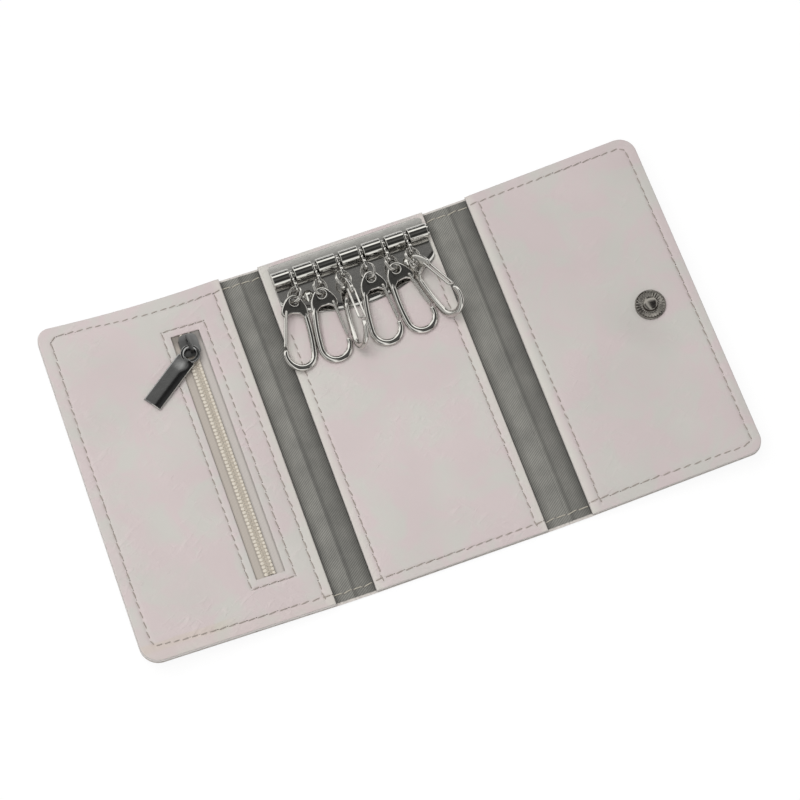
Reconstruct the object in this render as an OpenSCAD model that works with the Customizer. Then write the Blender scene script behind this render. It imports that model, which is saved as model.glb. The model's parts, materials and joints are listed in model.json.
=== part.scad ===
// Three-panel folding key case, shown open: a zipped pocket panel on the left, a middle panel
// with a six-hook key rail, and a closing flap with a snap stud on the right.
// x runs across the open case, y along its height, z up from the surface it lies on.
// The origin is the centre of the middle panel's back face.

/* [Case] */
// height of the case
case_h = 120; // [90:1:160]
// width of the middle leather panel
middle_w = 59.4; // [52:0.1:80]
// width of the left leather panel
left_w = 64.2; // [56:0.1:85]
// width of the right leather panel
right_w = 60.4; // [52:0.1:80]
// bare lining between the left and middle panels
left_gap = 14; // [13:0.1:18]
// bare lining between the middle and right panels
right_gap = 15.6; // [14:0.1:20]
// radius of the four outer corners
corner_r = 6.5; // [2:0.1:12]
// depth of the curve along the left panel's top edge
top_dip = 1.2; // [0.2:0.1:3]
// angle at which the left panel stands off the table
left_raise = 6.4; // [0:0.1:15]
// angle at which the right panel stands off the table
right_raise = 6.1; // [0:0.1:15]

/* [Layers] */
// outer leather
cover_t = 0.9; // [0.6:0.05:1.4]
// lining cloth over the folds
twill_t = 0.4; // [0.2:0.05:0.6]
// inner leather of the middle and right panels
face_t = 0.9; // [0.6:0.05:1.2]
// stiffener in the middle panel
middle_board_t = 1.2; // [0.8:0.05:1.6]
// stiffener in the right panel
right_board_t = 1.0; // [0.6:0.05:1.4]
// stiffener in the left panel
left_board_t = 0.6; // [0.4:0.05:1]
// lining at the back of the pocket
pocket_back_t = 0.2; // [0.1:0.05:0.4]
// room inside the pocket
pocket_room = 1.0; // [0.9:0.05:2]
// inner leather of the left panel
left_face_t = 0.7; // [0.5:0.05:1.2]

/* [Folds] */
// left fold line to the middle panel's edge
set_middle_left = 1.2; // [0.9:0.05:1.5]
// right fold line to the middle panel's edge
set_middle_right = 0.5; // [0.4:0.05:1]
// fold line to the left panel's edge
set_left = 1.0; // [0.9:0.05:2]
// fold line to the right panel's edge
set_right = 0.8; // [0.7:0.05:2]
// slack between two strips of leather at a fold
fold_slack = 0.4; // [0.3:0.05:0.6]
// angle of the left fold wall when the case is shut
left_wall_shut = 70; // [65:1:80]
// angle of the left panel when the case is shut
left_shut = 180.3; // [178:0.1:182]
// angle of the right fold wall when the case is shut
right_wall_shut = 80; // [70:1:85]
// angle of the right panel when the case is shut
right_shut = 178.5; // [176:0.1:180]

/* [Zip] */
// middle of the zip from the left panel's inner edge
zip_u = 17; // [14:0.1:24]
// width of the window in the leather
window_w = 9.8; // [8:0.1:14]
// leather above and below the window
window_margin = 15.75; // [12:0.25:30]
// tape hidden under the leather past the window
tape_tuck = 5.4; // [1.5:0.1:7]
// thickness of the tape
tape_t = 0.3; // [0.2:0.05:0.5]
// width of one coil row
coil_w = 1.5; // [1:0.05:2.5]
// height of the coil
coil_t = 1.0; // [0.7:0.05:1.6]
// gap between the two coil rows, where the slider's neck runs
coil_gap = 1.0; // [0.9:0.05:1.6]
// slider length
slider_l = 8.4; // [6:0.1:12]
// slider width
slider_w = 6.4; // [5.8:0.1:8]
// slider plate thickness
slider_t = 0.8; // [0.5:0.05:1.2]
// thickness of the slider's lower plate
slider_foot_t = 0.5; // [0.3:0.05:0.8]
// slider middle below the window's top end
slider_drop = 5.05; // [5:0.05:40]
// length of the pull from its hole to its tip
pull_l = 21.8; // [12:0.1:30]
// width of the pull
pull_w = 6.3; // [4:0.1:9]
// thickness of the pull
pull_t = 0.9; // [0.6:0.05:1.4]
// radius of the hole in the pull
pull_hole_r = 1.75; // [1.6:0.05:2.2]
// turn of the pull away from the zip
pull_turn = 52.6; // [0:0.1:80]

/* [Rail] */
// middle of the rail across the case
rail_x = 1.1; // [-2:0.1:2]
// width of the rail
rail_w = 55.6; // [50:0.1:60]
// sheet thickness of the rail
rail_t = 0.6; // [0.4:0.05:1]
// rail's top edge below the case's top edge
rail_top = 1.6; // [1:0.1:4]
// height of the rail plate at its middle
rail_h = 23.9; // [18:0.1:30]
// rise of the plate's lower curve towards its ends
rail_rise = 8; // [2:0.1:10]
// outside radius of the rolled tube
tube_r = 2.7; // [2.4:0.05:3.5]
// wall of the rolled tube
tube_wall = 0.5; // [0.3:0.05:0.8]
// tube's middle below the case's top edge
tube_drop = 8; // [6:0.1:12]
// radius of the pin inside the tube
pin_r = 0.9; // [0.6:0.05:1.2]
// running clearance of the hangers on the pin
pin_play = 0.05; // [0.02:0.01:0.1]
// width of a slot in the tube
slot_w = 2.4; // [2:0.05:3.5]
// rivet head radius
rivet_r = 2.2; // [1.2:0.05:3]
// rivet head height
rivet_h = 1.0; // [0.5:0.05:2]
// rivets' place below the tube's middle
rivet_drop = 8.1; // [6:0.1:10]
// rivets' place in from the rail's ends
rivet_in = 9.8; // [6:0.1:14]

/* [Key hooks] */
// distance from one hanger to the next
hook_pitch = 8.16; // [7.5:0.01:9]
// first hanger across the case
hanger_first = -19.9; // [-22:0.1:-18]
// thickness of a hanger
hanger_t = 0.9; // [0.6:0.05:1]
// pin to the lower eye of a hanger
hanger_l = 4.7; // [4.4:0.05:6]
// radius of the hanger's lower eye hole
hanger_hole_r = 1.6; // [1.4:0.05:2]
// rise of a resting hanger above level
hanger_rise = 9.8; // [5:0.1:20]
// ring radius to the middle of its wire
ring_r = 2.75; // [2.6:0.05:4]
// ring wire radius
ring_wire_r = 0.38; // [0.25:0.01:0.45]
// hook wire radius
hook_wire_r = 0.85; // [0.6:0.05:1]
// radius of the hook's bend to the middle of its wire
bend_r = 5; // [4:0.1:7]
// hook eye to the middle of the bend
bend_drop = 18.4; // [15:0.1:24]
// radius of the hole in the hook's eye
eye_hole_r = 1.45; // [1.2:0.05:1.8]
// thickness of the hook's head
head_t = 1.0; // [0.7:0.05:1.1]
// radius of the gate wire
gate_wire_r = 0.35; // [0.25:0.01:0.4]
// running clearance of the gate in the head
gate_play = 0.05; // [0.02:0.01:0.1]

/* [Snap] */
// snap stud from the right panel's inner edge
stud_u = 44.1; // [30:0.1:52]
// outside radius of the snap's discs
snap_r = 5.1; // [4:0.1:7]
// radius of the stud's post
post_r = 2.5; // [1.5:0.05:3]
// height of the stud's post
post_h = 2.6; // [2:0.1:4]
// clearance between post and socket
snap_play = 0.3; // [0.1:0.05:0.4]

/* [Hidden] */
$fn = 48;

// clearances and small sizes that several pieces share
over = 1;
gap = 0.3;
edge_step = 0.3;
lining_step = 0.8;
window_h = case_h - 2 * window_margin;
slider_y = window_h / 2 - slider_drop;

// levels above the table
fold_z = cover_t + twill_t;
middle_z = cover_t + middle_board_t + face_t;
right_z = cover_t + right_board_t + face_t;
lining_z = cover_t + left_board_t + pocket_back_t;
tape_z = lining_z + pocket_room;
coil_z = tape_z + tape_t;
left_z = coil_z + left_face_t;

// fold lines
left_root_x = middle_w / 2 + set_middle_left;
right_root_x = middle_w / 2 + set_middle_right;
left_wall = left_gap - set_middle_left - set_left;
right_wall = right_gap - set_middle_right - set_right;
left_fold_x = left_root_x + left_wall;
right_fold_x = right_root_x + right_wall;
left_edge = left_fold_x + set_left;
right_edge = right_fold_x + set_right;
left_wall_raise = left_raise / 2;
right_wall_raise = right_raise / 2;

// the shut case, which sets where the socket meets the stud
left_hinge = [-left_root_x - left_wall * cos(left_wall_shut), fold_z + left_wall * sin(left_wall_shut)];
right_hinge = [right_root_x + right_wall * cos(right_wall_shut),
  fold_z + right_wall * sin(right_wall_shut)];
right_run = [cos(right_shut), sin(right_shut)];
right_in = [-sin(right_shut), cos(right_shut)];
left_run = [-cos(left_shut), sin(left_shut)];
stud_shut = right_hinge + (set_right + stud_u) * right_run + (right_z - fold_z + post_h) * right_in;
socket_u = (stud_shut - left_hinge) * left_run - set_left;

// zip
window_edge = zip_u - window_w / 2;
tape_half = window_w / 2 + tape_tuck;
tape_h = window_h + 2 * tape_tuck;
rim_w = 5;
slider_foot_z = tape_z - gap - slider_foot_t;
slider_z = coil_z + coil_t + gap;
neck_w = coil_gap - 2 * gap;
neck_l = slider_l * 0.4;
flange_w = slider_w / 2 - coil_gap / 2 - coil_w - gap;
crown_w = 1.1;
crown_post = 1.0;
crown_t = 0.7;
crown_room = 2.1;
crown_l = slider_l * 0.57;
pull_eye_r = pull_w / 2;
pull_z = slider_z + slider_t + gap + pull_t / 2;
pull_rest_z = left_z + gap / 2 + pull_t / 2;
pull_slope = asin((pull_z - pull_rest_z) / pull_l);
crown_low_y = slider_y - crown_l / 2;
pull_y = crown_low_y - pull_hole_r / 5;

// rail
tube_y = case_h / 2 - tube_drop;
tube_z = middle_z + tube_r;
tube_bore = tube_r - tube_wall;
slot_shift = 0.45;
slot_low = 0.75;
slit_w = 0.5;
rail_corner = 1.2;
plate_top = case_h / 2 - rail_top;
plate_low = plate_top - rail_h;
plate_arc = (pow(rail_w / 2, 2) + pow(rail_rise, 2)) / (2 * rail_rise);
head_l = 1.0;
rivet_y = tube_y - rivet_drop;
shank_r = rivet_r * 0.55;
tail_t = 0.4;

// snap
dish_t = 0.35;
rim_t = 0.9;
rim_in_share = 0.88;
post_cap = 0.8;
dome_r = (pow(post_r, 2) + pow(post_cap, 2)) / (2 * post_cap);
socket_neck_r = post_r + snap_play + 0.6;
socket_r = snap_r * rim_in_share - gap;
socket_out = 0.7;
socket_floor = 0.3;
cap_r = socket_neck_r + 0.6;
cap_t = 0.2;
stud_neck_r = post_r * 0.6;
stud_cap_r = snap_r * 0.85;
stud_cap_t = 0.5;

// key hooks
hanger_eye_r = hanger_hole_r + 0.75 * hanger_t;
hanger_top_r = tube_bore - 1.5 * gap;
hanger_arm = 1.6;
eye_r = eye_hole_r + 1.1;
bend_off = -0.3;
nose_angle = 12;
back_r = 62;
back_top = 4.2;
back_sweep = asin((bend_drop - back_top) / back_r);
back_lap = 0.3;
back_share = 0.97;
shoulder_s = 3.1;
shoulder_t = 3.6;
shoulder_r = 1.15;
gate_half = head_t / 2 + gap + gate_wire_r;
nose_s = bend_off + bend_r * cos(nose_angle);
nose_t = bend_drop - bend_r * sin(nose_angle);
gate_end_t = nose_t - hook_wire_r - gap - gate_wire_r;
gate_end_s = nose_s - 0.15 * hook_wire_r;
gate_bar_share = 0.95;
lie = 0.08;

// per hook: sideways lean of its ring, dip of its ring, turn of the ring's plane,
// sideways tilt of the hook and its roll about its own length, in degrees
ring_lean = [-28, -11, -8.5, 2, 11, -4];
ring_dip = [6, 6, -10, 6, 6, -5];
ring_turn = [50, -50, -62, 50, -50, -58];
hook_tilt = [-13, -3.5, -3.1, -2.2, 8, 20];
hook_roll = [195, 0, -68, 0, 0, -50];

function hanger_x(i) = hanger_first + (i - 1) * hook_pitch;
function hanger_eye(i) = [hanger_x(i), tube_y - hanger_l * cos(hanger_rise),
  tube_z + hanger_l * sin(hanger_rise)];
function ring_run(i) = let (a = ring_lean[i - 1], d = ring_dip[i - 1])
  [sin(a) * cos(d), -cos(a) * cos(d), -sin(d)];
function hook_eye(i) = hanger_eye(i) + 2 * ring_r * ring_run(i);
// points along the hook and its gate: across, down, radius and half thickness
lie_points = concat(
  [for (a = [0:30:180])
    [bend_off + bend_r * cos(a), bend_drop + bend_r * sin(a), hook_wire_r, 0]],
  [for (f = [0:0.2:1]) [bend_off - bend_r + back_r * (1 - cos(f * back_sweep)),
    bend_drop - back_r * sin(f * back_sweep), hook_wire_r, 0]],
  [for (f = [0:0.2:1]) [shoulder_s + f * (gate_end_s - shoulder_s),
    shoulder_t + f * (gate_end_t - shoulder_t), 0, gate_half + gate_wire_r * 1.2]]);
// dip at which the hook just lies on the rail plate and the middle panel
function floor_z(i, t) = middle_z + lie
  + (t < hook_eye(i)[1] - plate_low + hook_wire_r ? rail_t : 0);
function dip_step(i, q, p) = let (r = hook_roll[i - 1])
  asin(min(1, (hook_eye(i)[2] - q[2] - floor_z(i, q[1])
  - (q[0] * sin(r) + abs(q[3] * cos(r))) * cos(p)) / q[1]));
function hook_dip(i, p = 0, n = 8) = n == 0 ? p :
  hook_dip(i, min([for (q = lie_points) dip_step(i, q, p)]), n - 1);

// places a child with the left fold wall, the left panel and their right-hand twins
module on_left_wall() {
  translate([-left_root_x, 0, fold_z]) rotate([0, left_wall_raise, 0])
    translate([left_root_x, 0, -fold_z]) children();
}

module on_left() {
  on_left_wall() translate([-left_fold_x, 0, fold_z])
    rotate([0, left_raise - left_wall_raise, 0]) translate([left_fold_x, 0, -fold_z]) children();
}

module on_right_wall() {
  translate([right_root_x, 0, fold_z]) rotate([0, -right_wall_raise, 0])
    translate([-right_root_x, 0, -fold_z]) children();
}

module on_right() {
  on_right_wall() translate([right_fold_x, 0, fold_z])
    rotate([0, right_wall_raise - right_raise, 0])
    translate([-right_fold_x, 0, -fold_z]) children();
}

// flat outline of an end panel, from its inner edge at x = 0 to its rounded outer corners
module flap(w, inset, dip) {
  r = corner_r - inset;
  h = case_h - 2 * inset;
  difference() {
    union() {
      translate([0, -h / 2]) square([w - inset - r, h]);
      translate([0, r - h / 2]) square([w - inset, h - 2 * r]);
      for (s = [-1, 1]) translate([w - inset - r, s * (h / 2 - r)]) circle(r);
    }
    if (dip > 0) {
      big = (pow(w / 2 + over, 2) + pow(dip, 2)) / (2 * dip);
      translate([w / 2, h / 2 - dip + big]) circle(big, $fn = 720);
    }
  }
}

module slab(z, t) {
  translate([0, 0, z]) linear_extrude(t) children();
}

module left_flap(inset) {
  mirror([1, 0]) translate([left_edge, 0]) flap(left_w, inset, top_dip);
}

module left_cover_flat() {
  mirror([1, 0]) translate([left_fold_x + fold_slack / 2, 0])
    flap(left_w + set_left - fold_slack / 2, 0, top_dip);
}

module right_flap(inset) {
  translate([right_edge, 0]) flap(right_w, inset, 0);
}

module right_cover_flat() {
  translate([right_fold_x + fold_slack / 2, 0])
    flap(right_w + set_right - fold_slack / 2, 0, 0);
}

module middle_flat(w, inset) {
  translate([-w / 2, inset - case_h / 2]) square([w, case_h - 2 * inset]);
}

module wall_flat(x, w, inset) {
  translate([x + fold_slack / 2, inset - case_h / 2])
    square([w - fold_slack, case_h - 2 * inset]);
}

// the snap's two seats, in the flat left and right panels
module at_socket() {
  translate([-left_edge - socket_u, 0, 0]) children();
}

module at_stud() {
  translate([right_edge + stud_u, 0, 0]) children();
}

// left panel
module cover_left() {
  color([0.74, 0.70, 0.69]) on_left() difference() {
    slab(0, cover_t) left_cover_flat();
    at_socket() translate([0, 0, -over]) cylinder(r = socket_neck_r, h = cover_t + 2 * over);
  }
}

module board_left() {
  color([0.62, 0.60, 0.57]) on_left() difference() {
    slab(cover_t, left_board_t) left_flap(edge_step);
    at_socket() cylinder(r = socket_neck_r, h = left_z);
  }
}

module pocket_lining() {
  color([0.46, 0.47, 0.45]) on_left() difference() {
    slab(cover_t + left_board_t, pocket_back_t) left_flap(edge_step);
    at_socket() cylinder(r = socket_neck_r, h = left_z);
  }
}

module window_cut(grow) {
  translate([-left_edge - zip_u - window_w / 2 - grow, -window_h / 2 - grow])
    square([window_w + 2 * grow, window_h + 2 * grow]);
}

module face_left() {
  color([0.80, 0.76, 0.75]) on_left() difference() {
    slab(lining_z, left_z - lining_z) left_flap(0);
    slab(lining_z - over, coil_z - lining_z + over) left_room();
    slab(lining_z - over, left_z - lining_z + 2 * over) window_cut(0);
  }
}

module left_room() {
  translate([-left_edge - left_w + rim_w, rim_w - case_h / 2])
    square([left_w - 2 * rim_w, case_h - 2 * rim_w - top_dip]);
}

module tape(s) {
  on_left() slab(tape_z, tape_t)
    translate([-left_edge - zip_u + (s > 0 ? coil_gap / 2 : -tape_half), -tape_h / 2])
    square([tape_half - coil_gap / 2, tape_h]);
}

module zip_tape_inner() {
  color([0.62, 0.60, 0.55]) tape(1);
}

module zip_tape_outer() {
  color([0.50, 0.47, 0.40]) tape(-1);
}

module coil(s) {
  on_left() slab(coil_z, coil_t)
    translate([-left_edge - zip_u + (s > 0 ? coil_gap / 2 : -coil_gap / 2 - coil_w),
    -window_h / 2]) square([coil_w, window_h]);
}

module zip_coil_inner() {
  color([0.86, 0.80, 0.66]) coil(1);
}

module zip_coil_outer() {
  color([0.86, 0.80, 0.66]) coil(-1);
}

module round_plate(w, l, r) {
  translate([-w / 2, r - l / 2]) square([w, l - 2 * r]);
  translate([r - w / 2, -l / 2]) square([w - 2 * r, l]);
  for (a = [-1, 1], b = [-1, 1]) translate([a * (w / 2 - r), b * (l / 2 - r)]) circle(r);
}

module zip_slider() {
  color([0.35, 0.35, 0.36]) on_left() translate([-left_edge - zip_u, slider_y, 0]) {
    slab(slider_z, slider_t) round_plate(slider_w, slider_l, slider_w * 0.36);
    slab(slider_foot_z, slider_foot_t) round_plate(slider_w, slider_l * 0.9, slider_w * 0.36);
    translate([-neck_w / 2, -neck_l / 2, slider_foot_z])
      cube([neck_w, neck_l, slider_z + slider_t / 2 - slider_foot_z]);
    for (s = [-1, 1]) translate([s * (slider_w / 2 - flange_w / 2) - flange_w / 2,
      -slider_l * 0.3, coil_z + gap])
      cube([flange_w, slider_l * 0.6, slider_z + slider_t / 2 - coil_z - gap]);
    for (s = [-1, 1]) translate([-crown_w / 2, s * crown_l / 2 - crown_post / 2,
      slider_z + slider_t / 2])
      cube([crown_w, crown_post, slider_t / 2 + crown_room + crown_t / 2]);
    translate([0, 0, slider_z + slider_t + crown_room + crown_t / 2])
      translate([-crown_w / 2, -crown_l / 2 - crown_post / 2, -crown_t / 2])
      cube([crown_w, crown_l + crown_post, crown_t]);
  }
}

module zip_pull() {
  color([0.30, 0.30, 0.31]) on_left()
    translate([-left_edge - zip_u, pull_y, pull_z])
    rotate([0, 0, -pull_turn]) rotate([pull_slope, 0, 0]) translate([0, 0, -pull_t / 2])
    difference() {
      union() {
        cylinder(r = pull_eye_r, h = pull_t);
        translate([-pull_w / 2, -pull_l, 0]) cube([pull_w, pull_l, pull_t]);
      }
      translate([0, 0, -over]) cylinder(r = pull_hole_r, h = pull_t + 2 * over);
    }
}

module snap_socket() {
  color([0.45, 0.44, 0.42]) on_left() at_socket() difference() {
    union() {
      translate([0, 0, -socket_out]) cylinder(r = socket_r, h = socket_out);
      translate([0, 0, -socket_out]) cylinder(r = socket_neck_r, h = socket_out + lining_z);
    }
    translate([0, 0, -socket_out - over])
      cylinder(r = post_r + snap_play, h = socket_out + lining_z - socket_floor + over);
  }
}

module socket_cap() {
  color([0.45, 0.44, 0.42]) on_left() at_socket() translate([0, 0, lining_z])
    cylinder(r = cap_r, h = cap_t);
}

// left fold
module cover_left_fold() {
  color([0.74, 0.70, 0.69]) on_left_wall() slab(0, cover_t)
    wall_flat(-left_fold_x, left_wall, 0);
}

module lining_left() {
  color([0.45, 0.46, 0.43]) on_left_wall() slab(cover_t, twill_t)
    wall_flat(-left_fold_x, left_wall, lining_step);
}

// middle panel
module at_rivets() {
  for (s = [-1, 1]) translate([rail_x + s * (rail_w / 2 - rivet_in), rivet_y, 0]) children();
}

module cover_middle() {
  color([0.74, 0.70, 0.69]) slab(0, cover_t)
    translate([fold_slack / 2 - left_root_x, -case_h / 2])
    square([left_root_x + right_root_x - fold_slack, case_h]);
}

module board_middle() {
  color([0.62, 0.60, 0.57]) difference() {
    slab(cover_t, middle_board_t) middle_flat(middle_w, edge_step);
    at_rivets() cylinder(r = shank_r, h = middle_z);
    at_rivets() translate([0, 0, cover_t - over]) cylinder(r = rivet_r, h = tail_t + over);
  }
}

module face_middle() {
  color([0.80, 0.76, 0.75]) difference() {
    slab(middle_z - face_t, face_t) middle_flat(middle_w, 0);
    at_rivets() cylinder(r = shank_r, h = middle_z + over);
  }
}

module plate_flat() {
  intersection() {
    union() {
      translate([-rail_w / 2, plate_low]) square([rail_w, rail_h - rail_corner]);
      translate([rail_corner - rail_w / 2, plate_low])
        square([rail_w - 2 * rail_corner, rail_h]);
      for (s = [-1, 1]) translate([s * (rail_w / 2 - rail_corner), plate_top - rail_corner])
        circle(rail_corner);
    }
    translate([0, plate_low + plate_arc]) circle(plate_arc, $fn = 720);
  }
}

module rail() {
  color([0.72, 0.72, 0.72]) difference() {
    union() {
      slab(middle_z, rail_t) translate([rail_x, 0]) plate_flat();
      translate([rail_x - rail_w / 2, tube_y, tube_z]) rotate([0, 90, 0])
        cylinder(r = tube_r, h = rail_w);
    }
    translate([rail_x - rail_w / 2 - over, tube_y, tube_z]) rotate([0, 90, 0])
      cylinder(r = tube_bore, h = rail_w + 2 * over);
    for (i = [1:6]) {
      translate([hanger_x(i) + slot_shift - slot_w / 2, tube_y - tube_r - over,
        tube_z - slot_low])
        cube([slot_w, 2 * tube_r + 2 * over, tube_r + slot_low + over]);
      translate([hanger_x(i) + slot_shift + slot_w / 2 - slit_w, tube_y, middle_z - over])
        cube([slit_w, plate_top - tube_y - rail_corner / 2, rail_t + 2 * over]);
    }
    at_rivets() cylinder(r = shank_r, h = tube_z);
  }
}

module rail_pin() {
  color([0.60, 0.60, 0.60]) translate([rail_x - rail_w / 2, tube_y, tube_z])
    rotate([0, 90, 0]) {
      cylinder(r = pin_r, h = rail_w);
      cylinder(r = tube_bore, h = head_l);
      translate([0, 0, rail_w - head_l]) cylinder(r = tube_bore, h = head_l);
    }
}

module rivet() {
  dome = (pow(rivet_r, 2) + pow(rivet_h, 2)) / (2 * rivet_h);
  translate([0, 0, cover_t]) cylinder(r = shank_r, h = middle_z + rail_t - cover_t);
  translate([0, 0, cover_t]) cylinder(r = rivet_r, h = tail_t);
  translate([0, 0, middle_z + rail_t]) intersection() {
    cylinder(r = rivet_r, h = rivet_h);
    translate([0, 0, rivet_h - dome]) sphere(dome, $fn = 96);
  }
}

module rail_rivets() {
  color([0.55, 0.55, 0.55]) at_rivets() rivet();
}

// right fold
module cover_right_fold() {
  color([0.74, 0.70, 0.69]) on_right_wall() slab(0, cover_t)
    wall_flat(right_root_x, right_wall, 0);
}

module lining_right() {
  color([0.45, 0.46, 0.43]) on_right_wall() slab(cover_t, twill_t)
    wall_flat(right_root_x, right_wall, lining_step);
}

// right panel
module cover_right() {
  color([0.74, 0.70, 0.69]) on_right() slab(0, cover_t) right_cover_flat();
}

module board_right() {
  color([0.62, 0.60, 0.57]) on_right() difference() {
    slab(cover_t, right_board_t) right_flap(edge_step);
    at_stud() cylinder(r = stud_neck_r, h = right_z);
    at_stud() translate([0, 0, cover_t - over]) cylinder(r = stud_cap_r, h = stud_cap_t + over);
  }
}

module face_right() {
  color([0.78, 0.74, 0.73]) on_right() difference() {
    slab(right_z - face_t, face_t) right_flap(0);
    at_stud() cylinder(r = stud_neck_r, h = right_z + over);
  }
}

module snap_stud() {
  color([0.45, 0.44, 0.42]) on_right() at_stud() {
    translate([0, 0, cover_t + stud_cap_t])
      cylinder(r = stud_neck_r, h = right_z - cover_t - stud_cap_t);
    translate([0, 0, right_z]) cylinder(r = snap_r, h = dish_t);
    translate([0, 0, right_z]) difference() {
      cylinder(r = snap_r, h = rim_t);
      translate([0, 0, dish_t / 2]) cylinder(r = snap_r * rim_in_share, h = rim_t);
    }
    translate([0, 0, right_z]) cylinder(r = post_r, h = post_h - post_cap);
    translate([0, 0, right_z + post_h - post_cap]) intersection() {
      cylinder(r = post_r, h = post_cap);
      translate([0, 0, post_cap - dome_r]) sphere(dome_r, $fn = 96);
    }
  }
}

module stud_cap() {
  color([0.45, 0.44, 0.42]) on_right() at_stud() translate([0, 0, cover_t])
    cylinder(r = stud_cap_r, h = stud_cap_t);
}

// one key hook hangs on the rail by a flat hanger and a ring
module rod(a, b, r) {
  d = b - a;
  l = norm(d);
  translate(a) rotate([0, acos(d[2] / l), atan2(d[1], d[0])]) cylinder(r = r, h = l);
}

module hanger(i) {
  color([0.52, 0.50, 0.48]) translate([hanger_x(i) - hanger_t / 2, tube_y, tube_z])
    rotate([-hanger_rise, 0, 0]) rotate([90, 0, 90]) difference() {
      union() {
        cylinder(r = hanger_top_r, h = hanger_t);
        translate([-hanger_l, -hanger_arm / 2, 0]) cube([hanger_l, hanger_arm, hanger_t]);
        translate([-hanger_l, 0, 0]) cylinder(r = hanger_eye_r, h = hanger_t);
      }
      translate([0, 0, -over]) cylinder(r = pin_r + pin_play, h = hanger_t + 2 * over);
      translate([-hanger_l, 0, -over]) cylinder(r = hanger_hole_r, h = hanger_t + 2 * over);
    }
}

module ring(i) {
  color([0.55, 0.53, 0.50]) translate(hanger_eye(i))
    rotate([0, 0, ring_lean[i - 1]]) rotate([ring_dip[i - 1], 0, 0])
    rotate([0, ring_turn[i - 1], 0]) translate([0, -ring_r, 0]) rotate([0, 90, 0])
    rotate_extrude() translate([ring_r, 0]) circle(ring_wire_r, $fn = 24);
}

module on_hook(i) {
  translate(hook_eye(i)) rotate([0, 0, hook_tilt[i - 1]]) rotate([hook_dip(i), 0, 0])
    rotate([0, hook_roll[i - 1], 0]) children();
}

module hook(i) {
  top_s = bend_off - bend_r + back_r * (1 - cos(back_sweep));
  color([0.52, 0.50, 0.48]) on_hook(i) {
    difference() {
      union() {
        translate([0, 0, -head_t / 2]) cylinder(r = eye_r, h = head_t);
        translate([shoulder_s, -shoulder_t, -head_t / 2]) cylinder(r = shoulder_r, h = head_t);
        translate([0, 0, -head_t / 2]) linear_extrude(head_t) polygon([
          [top_s - hook_wire_r * 0.8, -back_top],
          [-eye_r * 0.85, eye_r * 0.3],
          [eye_r * 0.8, eye_r * 0.4],
          [shoulder_s + shoulder_r * 0.85, -shoulder_t + shoulder_r * 0.3],
          [shoulder_s, -shoulder_t - shoulder_r * 0.8],
          [top_s + hook_wire_r * 0.6, -back_top - hook_wire_r]]);
      }
      translate([0, 0, -head_t]) cylinder(r = eye_hole_r, h = 2 * head_t);
      translate([shoulder_s, -shoulder_t, -head_t])
        cylinder(r = gate_wire_r * gate_bar_share + gate_play, h = 2 * head_t);
    }
    translate([bend_off, -bend_drop, 0]) rotate([0, 0, 180])
      rotate_extrude(angle = 180 + nose_angle) translate([bend_r, 0])
      circle(hook_wire_r, $fn = 32);
    translate([bend_off - bend_r + back_r, -bend_drop, 0]) rotate([0, 0, 180 - back_sweep])
      rotate_extrude(angle = back_sweep + back_lap, $fn = 720) translate([back_r, 0])
      circle(hook_wire_r * back_share, $fn = 32);
  }
}

module gate(i) {
  d = [gate_end_s - shoulder_s, shoulder_t - gate_end_t, 0];
  reach = 1.2 * gate_wire_r / norm(d);
  color([0.60, 0.58, 0.55]) on_hook(i) {
    for (s = [-1, 1]) rod([shoulder_s, -shoulder_t, s * gate_half] - reach * d,
      [gate_end_s, -gate_end_t, s * gate_half] + reach * d, gate_wire_r);
    for (e = [[shoulder_s, -shoulder_t], [gate_end_s, -gate_end_t]])
      translate([e[0], e[1], -gate_half - gate_wire_r * 1.2])
      cylinder(r = gate_wire_r * gate_bar_share, h = 2 * gate_half + gate_wire_r * 2.4);
  }
}

cover_left();
board_left();
pocket_lining();
face_left();
zip_tape_inner();
zip_tape_outer();
zip_coil_inner();
zip_coil_outer();
zip_slider();
zip_pull();
snap_socket();
socket_cap();
cover_left_fold();
lining_left();
cover_middle();
board_middle();
face_middle();
rail();
rail_pin();
rail_rivets();
cover_right_fold();
lining_right();
cover_right();
board_right();
face_right();
snap_stud();
stud_cap();
hanger(1);  // hanger_1
ring(1);  // ring_1
hook(1);  // hook_1
gate(1);  // gate_1
hanger(2);  // hanger_2
ring(2);  // ring_2
hook(2);  // hook_2
gate(2);  // gate_2
hanger(3);  // hanger_3
ring(3);  // ring_3
hook(3);  // hook_3
gate(3);  // gate_3
hanger(4);  // hanger_4
ring(4);  // ring_4
hook(4);  // hook_4
gate(4);  // gate_4
hanger(5);  // hanger_5
ring(5);  // ring_5
hook(5);  // hook_5
gate(5);  // gate_5
hanger(6);  // hanger_6
ring(6);  // ring_6
hook(6);  // hook_6
gate(6);  // gate_6
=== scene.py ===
"""A folding key case in pearl leather: a zipped pocket panel, a middle panel with a key rail,
and a closing flap with a snap. Sizes are in millimetres until they go into a mesh, in metres."""

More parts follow.
